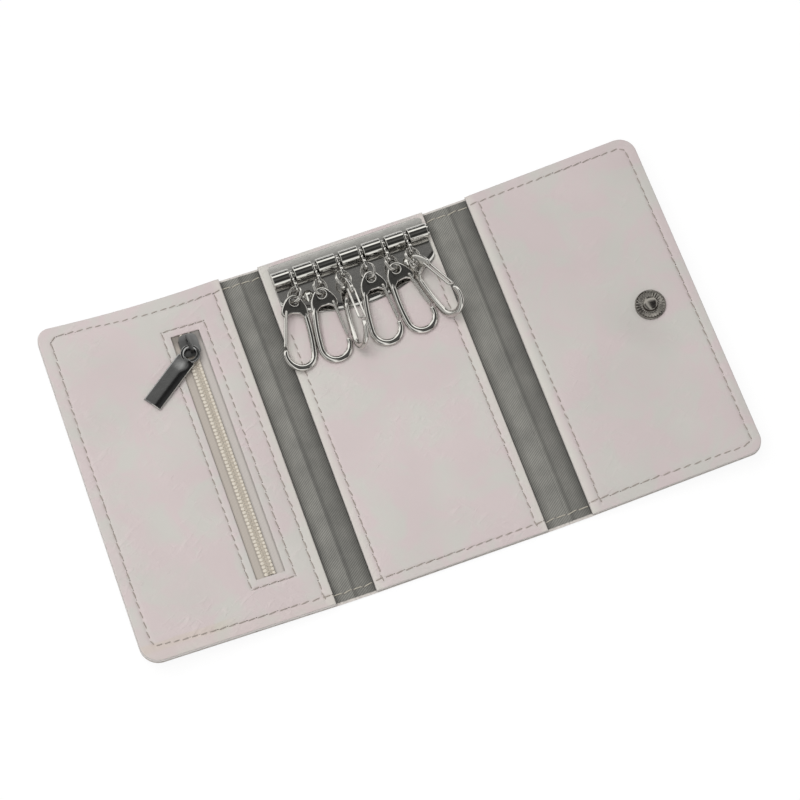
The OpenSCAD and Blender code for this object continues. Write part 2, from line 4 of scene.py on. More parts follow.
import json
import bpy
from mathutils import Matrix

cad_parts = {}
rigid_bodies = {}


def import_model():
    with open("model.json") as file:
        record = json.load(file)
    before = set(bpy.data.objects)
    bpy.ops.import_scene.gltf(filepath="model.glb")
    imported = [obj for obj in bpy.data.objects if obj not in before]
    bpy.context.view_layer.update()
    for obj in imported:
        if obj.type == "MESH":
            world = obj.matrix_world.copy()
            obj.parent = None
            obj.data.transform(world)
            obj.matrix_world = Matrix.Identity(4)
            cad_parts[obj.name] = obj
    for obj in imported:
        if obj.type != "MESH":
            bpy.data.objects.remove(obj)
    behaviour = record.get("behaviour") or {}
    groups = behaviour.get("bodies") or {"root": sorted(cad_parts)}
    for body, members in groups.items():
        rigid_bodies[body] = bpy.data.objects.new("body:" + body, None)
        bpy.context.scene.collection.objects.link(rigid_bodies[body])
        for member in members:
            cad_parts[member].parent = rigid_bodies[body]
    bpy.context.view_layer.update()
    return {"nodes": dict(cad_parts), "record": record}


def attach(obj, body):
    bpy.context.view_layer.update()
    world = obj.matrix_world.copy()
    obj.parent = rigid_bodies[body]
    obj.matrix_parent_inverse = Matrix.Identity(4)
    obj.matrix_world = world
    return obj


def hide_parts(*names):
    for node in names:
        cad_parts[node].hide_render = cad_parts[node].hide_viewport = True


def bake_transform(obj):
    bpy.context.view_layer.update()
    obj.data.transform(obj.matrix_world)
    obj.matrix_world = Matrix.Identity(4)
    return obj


bl_info = {
    "name": "Folding key case",
    "version": (1, 0, 0),
    "blender": (4, 5, 0),
    "location": "View3D > Sidebar > Key Case",
    "description": "Builds the key case's leather, lining, zip, seams, rail, hooks and snap",
    "category": "Add Mesh",
}

import bmesh
import bpy
from mathutils import Matrix
import numpy as np
from bpy.props import FloatProperty, FloatVectorProperty, IntProperty, PointerProperty

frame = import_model()
JOINTS = {j["name"]: j for j in frame["record"]["behaviour"]["joints"]}

# Sizes are in millimetres and angles in degrees. ZIP_U and SNAP_U are distances from a panel's
# inner edge.
MM = 0.001
PER_METRE = 1000
UV_PER_MM = 0.1
GAP = 0.3
HEIGHT = 120.0
LEFT_W, MIDDLE_W, RIGHT_W = 64.2, 59.4, 60.4
CORNER_R = 6.5
TOP_DIP = 1.2
FOLD_Z = 1.3
# how far a fold's bend reaches on each side of its line: where the skins start to follow the
# joint, and where the flat turns into the slope
EASE = 2.5
LEFT_RAISE, RIGHT_RAISE = 6.4, 6.1
LEFT_Z, MIDDLE_Z, RIGHT_Z = 3.7, 3.0, 2.8
ZIP_U = 17.0
WINDOW_W, WINDOW_H = 9.8, 88.5
TAPE_W, TAPE_PAST = 10.2, 2.9
COIL_Z, COIL_T = 3.0, 1.0
SLIDER_Y, SLIDER_L, SLIDER_T = 39.2, 8.4, 0.8
SNAP_U = 44.1
SOCKET_HOLE = 3.1
SEAM_IN = 3.4


def joint_point(name):
    """A joint's place at rest, in millimetres."""
    return np.array(JOINTS[name]["pos_m"]) * PER_METRE


def turn(axis, degrees):
    """The matrix that turns about one of the three axes by the right-hand rule."""
    c, s = np.cos(np.radians(degrees)), np.sin(np.radians(degrees))
    return {
        "x": np.array([[1, 0, 0], [0, c, -s], [0, s, c]]),
        "y": np.array([[c, 0, s], [0, 1, 0], [-s, 0, c]]),
        "z": np.array([[c, -s, 0], [s, c, 0], [0, 0, 1]]),
    }[axis]


LEFT_ROOT = joint_point("left_fold_inner")
LEFT_OUTER = joint_point("left_fold_outer")
RIGHT_ROOT = joint_point("right_fold_inner")
RIGHT_OUTER = joint_point("right_fold_outer")
LEFT_WALL = float(np.linalg.norm(LEFT_OUTER - LEFT_ROOT))
RIGHT_WALL = float(np.linalg.norm(RIGHT_OUTER - RIGHT_ROOT))
LEFT_FOLD = -LEFT_ROOT[0] + LEFT_WALL
RIGHT_FOLD = RIGHT_ROOT[0] + RIGHT_WALL
LEFT_EDGE = LEFT_FOLD + 1.0
RIGHT_EDGE = RIGHT_FOLD + 0.8


# ---- where flat pieces lie at rest ----

def hinge(points, x, side, degrees):
    """Turns points about the fold line at flat x, upwards on the outer side."""
    pivot = np.array([x, 0, FOLD_Z])
    return (points - pivot) @ turn("y", -side * degrees).T + pivot


def on_left_wall(points):
    """From the flat to the left fold's wall, turned up by half the panel's angle."""
    return hinge(points, LEFT_ROOT[0], -1, LEFT_RAISE / 2)


def on_left(points):
    """From the flat to the left panel, turned up by the other half at the outer fold line."""
    return on_left_wall(hinge(points, -LEFT_FOLD, -1, LEFT_RAISE / 2))


def on_right_wall(points):
    """From the flat to the right fold's wall, turned up by half the flap's angle."""
    return hinge(points, RIGHT_ROOT[0], 1, RIGHT_RAISE / 2)


def on_right(points):
    """From the flat to the flap, turned up by the other half at the outer fold line."""
    return on_right_wall(hinge(points, RIGHT_FOLD, 1, RIGHT_RAISE / 2))


def on_middle(points):
    """The middle panel lies flat."""
    return points


def eased(points, x, side, before, after):
    """Runs from one placing to the next by the smooth step 3 t^2 - 2 t^3, with t from 0 to 1
    between EASE before the fold line at flat x and EASE past it."""
    t = np.clip((side * (points[:, 0] - x) + EASE) / (2 * EASE), 0, 1)
    w = (t * t * (3 - 2 * t))[:, None]
    return before(points) * (1 - w) + after(points) * w


# ---- meshes ----

def add_object(name, data):
    """A new object, linked to the scene."""
    obj = bpy.data.objects.new(name, data)
    bpy.context.scene.collection.objects.link(obj)
    return obj


def add_piece(name, part, materials):
    """One object at the origin from (points, faces, tags, flat): tags pick each face's
    material, and flat gives each point's place on the flat piece, for its UV."""
    points, faces, tags, flat = part
    mesh = bpy.data.meshes.new(name)
    mesh.from_pydata(np.asarray(points) * MM, [], np.asarray(faces).tolist())
    for m in materials:
        mesh.materials.append(m)
    count = len(mesh.polygons)
    mesh.polygons.foreach_set("material_index", np.broadcast_to(tags, count).astype(np.int32))
    loops = np.empty(len(mesh.loops), np.int32)
    mesh.loops.foreach_get("vertex_index", loops)
    layer = mesh.uv_layers.new(name="flat")
    layer.data.foreach_set("uv", (flat[loops, :2] * UV_PER_MM).astype(np.float32).ravel())
    mesh.polygons.foreach_set("use_smooth", np.ones(count, bool))
    mesh.update()
    return add_object(name, mesh)


def put(part, place):
    """Moves a flat (points, faces, tags, flat) tuple to where it lies."""
    points, faces, tags, flat = part
    return place(points), faces, tags, flat


def tagged(part, tags):
    """The same tuple with other tags."""
    points, faces, _, flat = part
    return points, faces, tags, flat


def flipped(part):
    """The same tuple with its faces turned to point the other way."""
    points, faces, tags, flat = part
    return points, faces[:, ::-1], tags, flat


def merge(parts):
    """Puts (points, faces, tags, flat) tuples into one."""
    points, faces, tags, flat, start = [], [], [], [], 0
    for p, f, t, u in parts:
        points.append(p)
        faces.append(np.asarray(f) + start)
        tags.append(np.broadcast_to(t, len(f)))
        flat.append(u)
        start += len(p)
    return np.vstack(points), np.vstack(faces), np.concatenate(tags), np.vstack(flat)


def shell(x, y, top, bottom, keep=None):
    """A closed plate from a grid: the top surface, the bottom surface and the walls that join
    them along every edge that only one kept cell has. Tags: 0 top, 1 bottom, 2 wall."""
    nu, nv = x.shape
    index = np.arange(nu * nv).reshape(nu, nv)
    if keep is None:
        keep = np.ones((nu - 1, nv - 1), bool)
    a, b, c, d = (g[keep] for g in (index[:-1, :-1], index[1:, :-1], index[1:, 1:], index[:-1, 1:]))
    n = nu * nv
    cells = np.stack([a, b, c, d], 1)
    edges = np.concatenate([cells[:, [0, 1]], cells[:, [1, 2]], cells[:, [2, 3]], cells[:, [3, 0]]])
    key = np.sort(edges, 1)
    _, inverse, count = np.unique(key, axis=0, return_inverse=True, return_counts=True)
    rim = edges[count[inverse.ravel()] == 1]
    walls = np.stack([rim[:, 1], rim[:, 0], rim[:, 0] + n, rim[:, 1] + n], 1)
    faces = np.concatenate([cells, cells[:, ::-1] + n, walls])
    tags = np.concatenate([np.zeros(len(cells)), np.ones(len(cells)), np.full(len(walls), 2)])
    points = np.concatenate([np.stack([x, y, top], -1).reshape(-1, 3),
                             np.stack([x, y, bottom], -1).reshape(-1, 3)])
    used = np.unique(faces)
    new = np.zeros(len(points), int)
    new[used] = np.arange(len(used))
    return points[used], new[faces], tags.astype(int), points[used]


def turned_faces(steps, count):
    """The quads of a grid of steps rows, count points to a row, whose last row joins its
    first."""
    i, j = np.arange(steps)[:, None], np.arange(count - 1)[None]
    k = (i + 1) % steps
    quads = [i * count + j, k * count + j, k * count + j + 1, i * count + j + 1]
    return np.stack(quads, -1).reshape(-1, 4)


def round_faces(rows, sides):
    """The quads of a grid of rows, sides points to a row, where each row's last point joins
    its first."""
    i, j = np.arange(rows - 1)[:, None], np.arange(sides)[None]
    k, l = i + 1, (j + 1) % sides
    quads = [i * sides + j, i * sides + l, k * sides + l, k * sides + j]
    return np.stack(quads, -1).reshape(-1, 4)


def repeated(faces, copies, size):
    """One shape's faces for each of its copies, whose points follow one another, size each."""
    return (faces[None] + (np.arange(copies) * size)[:, None, None]).reshape(-1, 4)


def tube(path, radius, sides, flatten=1.0, up=(0, 0, 1)):
    """A round profile carried along a path, with flat caps: each point is the path's point plus
    the radius times the cosine of the angle across the path, plus flatten times its sine
    upwards. radius may be one number or one for each point."""
    path = np.asarray(path, float)
    n = len(path)
    run = np.gradient(path, axis=0)
    run /= np.linalg.norm(run, axis=1, keepdims=True)
    up = np.broadcast_to(np.asarray(up, float), path.shape)
    across = np.cross(run, up)
    across /= np.maximum(np.linalg.norm(across, axis=1, keepdims=True), 1e-9)
    rise = np.cross(across, run)
    angle = np.linspace(0, 2 * np.pi, sides, endpoint=False)
    r = np.broadcast_to(np.asarray(radius, float), n)[:, None, None]
    ring = (path[:, None] + r * (np.cos(angle)[None, :, None] * across[:, None]
                                 + flatten * np.sin(angle)[None, :, None] * rise[:, None]))
    points = ring.reshape(-1, 3)
    caps = []
    for at, order in ((0, -1), (n - 1, 1)):
        ids = at * sides + np.arange(sides)[::order]
        for q in range(1, sides - 1, 2):
            caps.append([ids[0], ids[q], ids[q + 1], ids[(q + 2) % sides]])
    return points, np.vstack([round_faces(n, sides), np.array(caps)]), 0, points.copy()


def lathe(profile, steps, wave=None):
    """A profile of (radius, height) turned about z: x is the radius times the cosine of the
    angle, y the radius times its sine, z the height plus wave(angle, radius), as ribs add."""
    profile = np.asarray(profile, float)
    angle = np.linspace(0, 2 * np.pi, steps, endpoint=False)
    r, z = profile[:, 0][None], profile[:, 1][None]
    x, y = r * np.cos(angle)[:, None], r * np.sin(angle)[:, None]
    z = np.broadcast_to(z, x.shape).copy()
    if wave is not None:
        z += wave(angle[:, None], r)
    points = np.stack([x, y, z], -1).reshape(-1, 3)
    return points, turned_faces(steps, len(profile)), 0, points.copy()


def softened(node, name, material, width, segments, angle):
    """A merged copy of a CAD node whose edges sharper than angle are rounded over by width."""
    source = next(o for o in bpy.data.objects if o.name == node)
    bm = bmesh.new()
    bm.from_mesh(source.data)
    bmesh.ops.remove_doubles(bm, verts=bm.verts, dist=2e-6)
    bmesh.ops.dissolve_limit(bm, angle_limit=np.radians(0.5), verts=bm.verts, edges=bm.edges)
    bmesh.ops.recalc_face_normals(bm, faces=bm.faces)
    mesh = bpy.data.meshes.new(name)
    bm.to_mesh(mesh)
    bm.free()
    mesh.materials.clear()
    mesh.materials.append(material)
    mesh.polygons.foreach_set("material_index", np.zeros(len(mesh.polygons), np.int32))
    mesh.polygons.foreach_set("use_smooth", np.ones(len(mesh.polygons), bool))
    obj = add_object(name, mesh)
    bevel = obj.modifiers.new("rounded edges", "BEVEL")
    bevel.width = width * MM
    bevel.segments = segments
    bevel.limit_method = "ANGLE"
    bevel.angle_limit = np.radians(angle)
    bevel.harden_normals = True
    bevel.use_clamp_overlap = True
    return obj


# ---- materials ----

class Nodes:
    """Short ways to add nodes to the tree of a material or a world, its block."""

    def __init__(self, block):
        """Gives the block a node tree; shader is a material's Principled shader."""
        block.use_nodes = True
        self.block = block
        self.tree = block.node_tree
        self.shader = self.tree.nodes.get("Principled BSDF")

    def add(self, kind, **values):
        """A node of a kind, with inputs or properties set by name."""
        node = self.tree.nodes.new(kind)
        for key, value in values.items():
            if key in node.inputs:
                node.inputs[key].default_value = value
            else:
                setattr(node, key, value)
        return node

    def link(self, a, b):
        """Leads the output a into the input b."""
        self.tree.links.new(a, b)

    def flat_place(self, turn_z=0.0):
        """The piece's flat millimetres, which bend with it."""
        uv = self.add("ShaderNodeUVMap", uv_map="flat")
        mapping = self.add("ShaderNodeMapping")
        mapping.inputs["Rotation"].default_value = (0, 0, turn_z)
        mapping.inputs["Scale"].default_value = [1 / UV_PER_MM] * 3
        self.link(uv.outputs["UV"], mapping.inputs["Vector"])
        return mapping.outputs["Vector"]

    def object_place(self, stretch=(1, 1, 1)):
        """Object coordinates in millimetres."""
        at = self.add("ShaderNodeTexCoord")
        mapping = self.add("ShaderNodeMapping")
        mapping.inputs["Scale"].default_value = [PER_METRE * s for s in stretch]
        self.link(at.outputs["Object"], mapping.inputs["Vector"])
        return mapping.outputs["Vector"]

    def axes(self, place):
        """The x, y and z of a place."""
        apart = self.add("ShaderNodeSeparateXYZ")
        self.link(place, apart.inputs[0])
        return list(apart.outputs)

    def noise(self, place, scale, detail, rough=0.5, distortion=0.0):
        """Soft noise from 0 to 1, scale waves to a millimetre."""
        node = self.add("ShaderNodeTexNoise", Scale=scale, Detail=detail, Roughness=rough,
                        Distortion=distortion)
        self.link(place, node.inputs["Vector"])
        return node.outputs["Fac"]

    def ramp(self, value, stops):
        """A colour that runs through the stops, each a value and its colour."""
        node = self.add("ShaderNodeValToRGB")
        ramp = node.color_ramp
        while len(ramp.elements) < len(stops):
            ramp.elements.new(0.5)
        for element, (at, colour) in zip(ramp.elements, stops):
            element.position = at
            element.color = (*colour, 1)
        self.link(value, node.inputs["Fac"])
        return node.outputs["Color"]

    def span(self, value, low, high, to_low, to_high):
        """Runs straight from to_low to to_high as value goes from low to high, and no
        further."""
        node = self.add("ShaderNodeMapRange")
        for key, number in zip(("From Min", "From Max", "To Min", "To Max"),
                               (low, high, to_low, to_high)):
            node.inputs[key].default_value = number
        self.link(value, node.inputs["Value"])
        return node.outputs["Result"]

    def math(self, operation, a, b):
        """One operation on a and b, each a number or an output."""
        node = self.add("ShaderNodeMath", operation=operation)
        for socket, value in zip(node.inputs, (a, b)):
            if isinstance(value, (int, float)):
                socket.default_value = value
            else:
                self.link(value, socket)
        return node.outputs[0]

    def mix(self, factor, a, b, blend="MIX"):
        """The colour a with b mixed in, or blended over it, by a factor."""
        node = self.add("ShaderNodeMix", data_type="RGBA", blend_type=blend)
        for socket, value in ((node.inputs[0], factor), (node.inputs[6], a), (node.inputs[7], b)):
            if isinstance(value, (int, float)):
                socket.default_value = value
            elif isinstance(value, tuple):
                socket.default_value = (*value, 1)
            else:
                self.link(value, socket)
        return node.outputs[2]

    def bump(self, height, distance, strength, under=None):
        """Raises the shader's surface by a height times distance, in millimetres, over the
        bump under it."""
        node = self.add("ShaderNodeBump", Strength=strength, Distance=distance * MM)
        self.link(height, node.inputs["Height"])
        if under is not None:
            self.link(under, node.inputs["Normal"])
        self.link(node.outputs["Normal"], self.shader.inputs["Normal"])
        return node.outputs["Normal"]

    def set(self, **values):
        """Numbers and colours that are the same all over, on the shader's own sockets."""
        for key, value in values.items():
            self.shader.inputs[key.replace("_", " ")].default_value = value

    def darkened(self, tint, shade):
        """A colour times a grey."""
        grey = self.add("ShaderNodeCombineColor")
        for socket in grey.inputs[:3]:
            self.link(shade, socket)
        return self.mix(1.0, tint, grey.outputs[0], "MULTIPLY")

    def two_tone(self, value, low, high, colour, dark):
        """Base colour: the colour times dark up to low, and the colour itself from high on."""
        shades = [(low, tuple(c * dark for c in colour)), (high, colour)]
        self.link(self.ramp(value, shades), self.shader.inputs["Base Color"])


def surface(name):
    """A new material's nodes."""
    return Nodes(bpy.data.materials.new(name))


def linear(r, g, b):
    """An 8-bit colour as the shader takes it."""
    c = np.array([r, g, b]) / 255
    return tuple(float(v) for v in np.where(c <= 0.04045, c / 12.92, ((c + 0.055) / 1.055) ** 2.4))


def pearl_leather(name, main, cool, turned=(), crease=1.0, stain=None, shade=None):
    """Coated leather: a soft cloud of two tints, fine pebble grain and patches of fine creases,
    whose ridges are painted lighter as a highlight. turned holds the flat x of each turned edge,
    along which a paler band is painted as the rounded edge's highlight. stain tints the zip
    panel's lower border, which has yellowed along its seam. shade is how far along the flap a
    darker, cooler patch lies beside the snap."""
    n = surface(name)
    at = n.flat_place()
    cloud = n.noise(at, 0.065, 4.0, 0.6, 0.6)
    both = tuple(0.5 * a + 0.5 * b for a, b in zip(main, cool))
    tint = n.ramp(cloud, [(0.44, main), (0.52, both), (0.62, cool)])
    drift = n.ramp(n.noise(at, 0.028, 2.0), [(0.3, (0.965, 0.965, 0.965)), (0.7, (1.025, 1.025, 1.025))])
    tint = n.mix(1.0, tint, drift, "MULTIPLY")
    x, y, _ = n.axes(at)
    folds = None
    for lean, share in ((-0.5, 1.0), (0.9, 0.5)):
        stroke = n.add("ShaderNodeVectorMath", operation="MULTIPLY")
        n.link(n.flat_place(turn_z=lean), stroke.inputs[0])
        stroke.inputs[1].default_value = (0.24, 0.85, 1)
        line = n.span(n.noise(stroke.outputs[0], 0.7, 2.0, 0.45, 0.6), 0.53, 0.72, 0.0, share)
        folds = line if folds is None else n.math("MAXIMUM", folds, line)
    patch = n.span(n.noise(at, 0.045, 2.0), 0.46, 0.60, 0.0, 1.0)
    ridge = n.math("MULTIPLY", n.math("MULTIPLY", folds, patch), crease)
    # painted highlight: the crease ridges are painted lighter, as the light they catch
    tint = n.mix(n.math("MULTIPLY", ridge, 0.30), tint, tuple(min(1, c * 1.14) for c in main))
    # painted highlight: a paler band along each turned edge, for the light its rounded leather catches
    for at_x in turned:
        d = n.math("ABSOLUTE", n.math("SUBTRACT", x, at_x), 0)
        tint = n.mix(n.span(d, 1.2, 3.2, 0.55, 0.0), tint, linear(216, 213, 204))
    wander = n.math("MULTIPLY", n.math("SUBTRACT", n.noise(at, 0.12, 3.0), 0.5), 2.4)
    if stain is not None:
        # faint along the lower border, and stronger in a band above it on the panel's outer half
        low = n.math("ADD", y, n.math("MULTIPLY", wander, 0.5))
        border = n.span(low, -56.8, -55.8, 0.08, 0.0)
        band = n.math("MULTIPLY", n.span(low, -54.2, -53.6, 0.40, 0.0),
                      n.span(x, -81.0, -74.0, 1.0, 0.0))
        band = n.math("MULTIPLY", band, n.span(low, -57.2, -56.2, 0.3, 1.0))
        tint = n.mix(n.math("MAXIMUM", border, band), tint, stain)
    # a darker, cooler patch on the flap beside the snap
    if shade is not None:
        # how far from the patch's middle, by an ellipse that leans
        dx = n.math("SUBTRACT", x, RIGHT_EDGE + shade)
        dy = n.math("ADD", y, 6.0)
        tilt = n.math("ADD", n.math("MULTIPLY", dx, 0.75), n.math("MULTIPLY", dy, 0.5))
        far = n.math("SQRT", n.math("ADD", n.math("MULTIPLY", tilt, tilt),
                                    n.math("MULTIPLY", n.math("MULTIPLY", dy, dy), 0.25)), 0)
        darkened_by_place = n.span(n.math("ADD", far, wander), 1.0, 7.5, 0.6, 0.0)
        tint = n.mix(darkened_by_place, tint, tuple(c * 0.90 for c in cool))
    n.link(tint, n.shader.inputs["Base Color"])
    cells = n.add("ShaderNodeTexVoronoi", Scale=1.35, feature="SMOOTH_F1")
    n.link(at, cells.inputs["Vector"])
    fine = n.noise(at, 5.0, 3.0, 0.6)
    pebble = n.math("ADD", n.math("MULTIPLY", cells.outputs["Distance"], 0.6), fine)
    first = n.bump(pebble, 0.05, 0.45)
    n.bump(ridge, 0.15, 0.8, first)
    n.link(n.span(cloud, 0.3, 0.7, 0.34, 0.46), n.shader.inputs["Roughness"])
    n.set(Coat_Weight=0.12, Coat_Roughness=0.28, Specular_IOR_Level=0.5)
    return n.block


def edge_paint(name, colour):
    """Rubbery paint on a cut leather edge, with the layers' faint lines."""
    n = surface(name)
    at = n.object_place((1, 1, 3))
    n.two_tone(n.noise(at, 1.1, 3.0, 0.6), 0.3, 0.65, colour, 0.72)
    n.bump(n.noise(at, 3.0, 2.0), 0.05, 0.5)
    n.set(Roughness=0.5)
    return n.block


# the spacing of the ribs, and their turn in radians
TWILL_PITCH, TWILL_LEAN = 0.68, 0.95


def twill_cloth(name, colour, folds=False):
    """Twill: diagonal ribs crossed by the thread steps along each rib, with a soft cloud. Over
    the folds, painted shade darkens the cloth beside the panels, where some dust is painted in
    too, along the crease down its middle and on the half nearer the case's right, and the other
    half is painted a little lighter."""
    n = surface(name)
    at = n.flat_place(turn_z=TWILL_LEAN)
    ribs = n.add("ShaderNodeTexWave", Scale=1 / (TWILL_PITCH * 3.1416), Distortion=0.8,
                 Detail=1.0)
    ribs.inputs["Detail Scale"].default_value = 1.5
    ribs.wave_profile = "SIN"
    n.link(at, ribs.inputs["Vector"])
    steps = n.add("ShaderNodeTexWave", Scale=1 / (TWILL_PITCH * 1.7), Distortion=0.6,
                  bands_direction="Y")
    n.link(at, steps.inputs["Vector"])
    weave = n.math("ADD", n.math("MULTIPLY", ribs.outputs["Fac"], 0.7),
                   n.math("MULTIPLY", steps.outputs["Fac"], 0.3))
    cloud = n.noise(at, 0.11, 4.0, 0.6)
    dark = tuple(c * 0.70 for c in colour)
    light = tuple(min(1, c * 1.28) for c in colour)
    base = n.ramp(weave, [(0.15, dark), (0.85, light)])
    tone = n.ramp(cloud, [(0.3, (0.80, 0.80, 0.80)), (0.7, (1.12, 1.12, 1.11))])
    tint = n.mix(1.0, base, tone, "MULTIPLY")
    if folds:
        # painted shade beside the panels, with some dust, and painted light and shade across each fold's
        # halves and along its crease
        x = n.axes(n.flat_place())[0]
        near = n.math("SUBTRACT", n.math("ABSOLUTE", x, 0), MIDDLE_W / 2)
        far = n.math("SUBTRACT", n.span(x, -1, 1, LEFT_EDGE, RIGHT_EDGE),
                     n.math("ABSOLUTE", x, 0))
        side = n.span(n.math("MINIMUM", near, far), 0.0, 3.2, 0.62, 1.08)
        over = n.math("SUBTRACT", x, n.span(x, -1, 1, 0, LEFT_EDGE + 31.6))
        half = n.span(over, -37.4, -36.2, 1.08, 0.84)
        crease = n.span(n.math("ABSOLUTE", n.math("ADD", over, 36.4), 0), 0.1, 1.1, 0.72, 1.0)
        tint = n.darkened(tint, n.math("MULTIPLY", n.math("MULTIPLY", side, half), crease))
    n.link(tint, n.shader.inputs["Base Color"])
    n.bump(weave, 0.08, 0.9)
    n.set(Roughness=0.82, Sheen_Weight=0.25, Sheen_Roughness=0.5)
    return n.block


def tape_cloth(name, colour, darkened_by_place=False):
    """Woven zip tape: fine ribs along it and across it. With the flag set, the tape gets painted
    shade beside the coil, under the window's edges and at its top end, where the slider rests."""
    n = surface(name)
    at = n.flat_place()
    warp = n.add("ShaderNodeTexWave", Scale=0.75, Distortion=0.3, bands_direction="X")
    weft = n.add("ShaderNodeTexWave", Scale=0.95, Distortion=0.5, bands_direction="Y")
    for wave in (warp, weft):
        n.link(at, wave.inputs["Vector"])
    weave = n.math("MULTIPLY", warp.outputs["Fac"], weft.outputs["Fac"])
    dark = tuple(c * 0.75 for c in colour)
    tint = n.ramp(weave, [(0.0, dark), (0.7, colour)])
    if darkened_by_place:
        # painted shade beside the coil, under the window's edges and at the tape's top end
        x, y, _ = n.axes(at)
        away = n.math("ABSOLUTE", n.math("ADD", x, LEFT_EDGE + ZIP_U), 0)
        sides = n.math("MULTIPLY", n.span(away, WINDOW_W / 2 - 0.7, WINDOW_W / 2, 1.0, 0.6),
                       n.span(away, 2.1, 2.6, 0.80, 1.0))
        top = n.span(y, WINDOW_H / 2 - 5.0, WINDOW_H / 2 - 2.0, 1.0, 0.55)
        tint = n.darkened(tint, n.math("MULTIPLY", sides, top))
    n.link(tint, n.shader.inputs["Base Color"])
    n.bump(weave, 0.07, 0.8)
    n.set(Roughness=0.78, Sheen_Weight=0.15)
    return n.block


def coil_nylon(name, colour):
    """Monofilament: smooth, with dye that varies along it."""
    n = surface(name)
    n.two_tone(n.noise(n.object_place(), 0.5, 2.0), 0.3, 0.7, colour, 0.86)
    n.set(Roughness=0.50, Specular_IOR_Level=0.40)
    return n.block


def sewing_thread(name, colour, dark=0.72):
    """Plied thread: thin slanting bands and fuzz."""
    n = surface(name)
    ply = n.add("ShaderNodeTexWave", Scale=1.6, Distortion=1.0, bands_direction="DIAGONAL")
    n.link(n.object_place(), ply.inputs["Vector"])
    n.two_tone(ply.outputs["Fac"], 0.2, 0.8, colour, dark)
    n.bump(ply.outputs["Fac"], 0.05, 0.6)
    n.set(Roughness=0.6)
    return n.block


def plated_metal(name, colour, rough, wear=0.06, ripple=0.02):
    """Plated metal: hairline scuffs in the gloss and a barely uneven surface."""
    n = surface(name)
    at = n.object_place()
    scuff = n.noise(n.object_place((0.6, 3.0, 1.6)), 1.4, 4.0, 0.7)
    n.two_tone(n.noise(at, 0.35, 3.0), 0.25, 0.75, colour, 0.88)
    n.link(n.span(scuff, 0.35, 0.75, rough, rough + wear), n.shader.inputs["Roughness"])
    n.bump(n.noise(at, 0.8, 2.0), ripple, 0.35)
    n.set(Metallic=1.0)
    return n.block


def stiff_board(name, colour):
    """Fibre board, seen only as the thin middle layer of the edges."""
    n = surface(name)
    fibre = n.noise(n.object_place((1, 1, 4)), 1.8, 4.0, 0.65)
    n.two_tone(fibre, 0.3, 0.7, colour, 0.7)
    n.bump(fibre, 0.06, 0.6)
    n.set(Roughness=0.85)
    return n.block


# ---- leather and cloth ----

# grid lines close to an edge, and on both sides of a seam
FINE = np.array([0, 0.06, 0.14, 0.25, 0.4, 0.65])
BESIDE = np.array([-0.75, -0.45, -0.2, 0, 0.2, 0.45, 0.75])
CLOSEST = 0.05


def lines(low, high, step, seams=(), cuts=()):
    """Grid lines: even steps from low to high, closer at both ends, beside seams and outside the
    cuts, with those less than CLOSEST apart dropped."""
    parts = [np.arange(low, high, step), low + FINE, high - FINE]
    parts += [s + BESIDE for s in seams]
    for a, b in cuts:
        parts += [a - FINE, b + FINE]
    fixed = [low, high] + [c for pair in cuts for c in pair]
    got = np.unique(np.round(np.clip(np.concatenate(parts), low, high), 4))
    out = [got[0]]
    for v in got[1:]:
        if v - out[-1] >= CLOSEST:
            out.append(v)
        elif any(abs(v - f) < 1e-6 for f in fixed):
            out[-1] = v
    return np.array(out)


def rounding(d, radius):
    """How far a rounded edge drops at distance d in from the outline: radius less the square
    root of radius squared minus (radius - d) squared."""
    k = np.clip(d, 0, radius)
    return radius - np.sqrt(radius ** 2 - (radius - k) ** 2)


def corner_distance(u, y, width, radii, inner=True):
    """Distance in from the outline of an end panel, whose two outer corners are round: the
    lesser of the distances to its sides, or radius less distance to the corner's centre. radii
    is the upper corner's radius and the lower one's."""
    half = HEIGHT / 2
    radius = np.where(y > 0, *radii)
    dx, dy = width - u, half - np.abs(y)
    d = np.minimum(dx, dy)
    in_corner = (dx < radius) & (dy < radius)
    round_d = radius - np.hypot(radius - dx, radius - dy)
    d = np.where(in_corner, round_d, d)
    return np.minimum(d, u) if inner else d


def sag(u, y, width, dip):
    """The top edge's shallow curve, a parabola across the panel dip deep, let in by a smooth
    step from y = 48 to y = 60."""
    t = np.clip((y - 48) / 12, 0, 1)
    return dip * (1 - ((u - width / 2) / (width / 2 + 1)) ** 2) * t * t * (3 - 2 * t)


def rim_tagged(part, distance, width=0.16, tag=3):
    """Marks the cells of the top face that lie within width of the outline with tag, for a finish
    of their own. distance gives each flat point's distance in from the outline."""
    points, faces, tags, flat = part
    middle = flat[faces].mean(1)
    near = distance(middle[:, 0], middle[:, 1]) < width
    return points, faces, np.where((tags == 0) & near, tag, tags), flat


def grid(width, step, seams_u=(), seams_y=(), cut=None, radii=(CORNER_R, CORNER_R)):
    """u, y over an end panel: a row's length falls by radius - sqrt(radius^2 - over^2) where it
    lies over by that much past the start of a round outer corner."""
    half = HEIGHT / 2
    rise = np.radians(np.arange(0, 91, 6))
    upper = half - radii[0] + radii[0] * np.sin(rise)
    lower = -half + radii[1] - radii[1] * np.sin(rise)
    us = lines(0, width, step, seams_u, [cut[0]] if cut else [])
    ys = lines(-half, half, step, seams_y, [cut[1]] if cut else [])
    ys = ys[(ys > lower[0]) & (ys < upper[0])]
    ys = np.unique(np.round(np.concatenate([ys, upper, lower]), 4))
    u, y = np.meshgrid(us, ys, indexing="ij")
    corner = np.where(y > 0, *radii)
    over = np.clip(np.abs(y) - (half - corner), 0, corner)
    row = width - corner + np.sqrt(np.maximum(corner ** 2 - over ** 2, 0))
    u = np.where(u > width / 2, width / 2 + (u - width / 2) * (row - width / 2) / (width / 2), u)
    return u, y


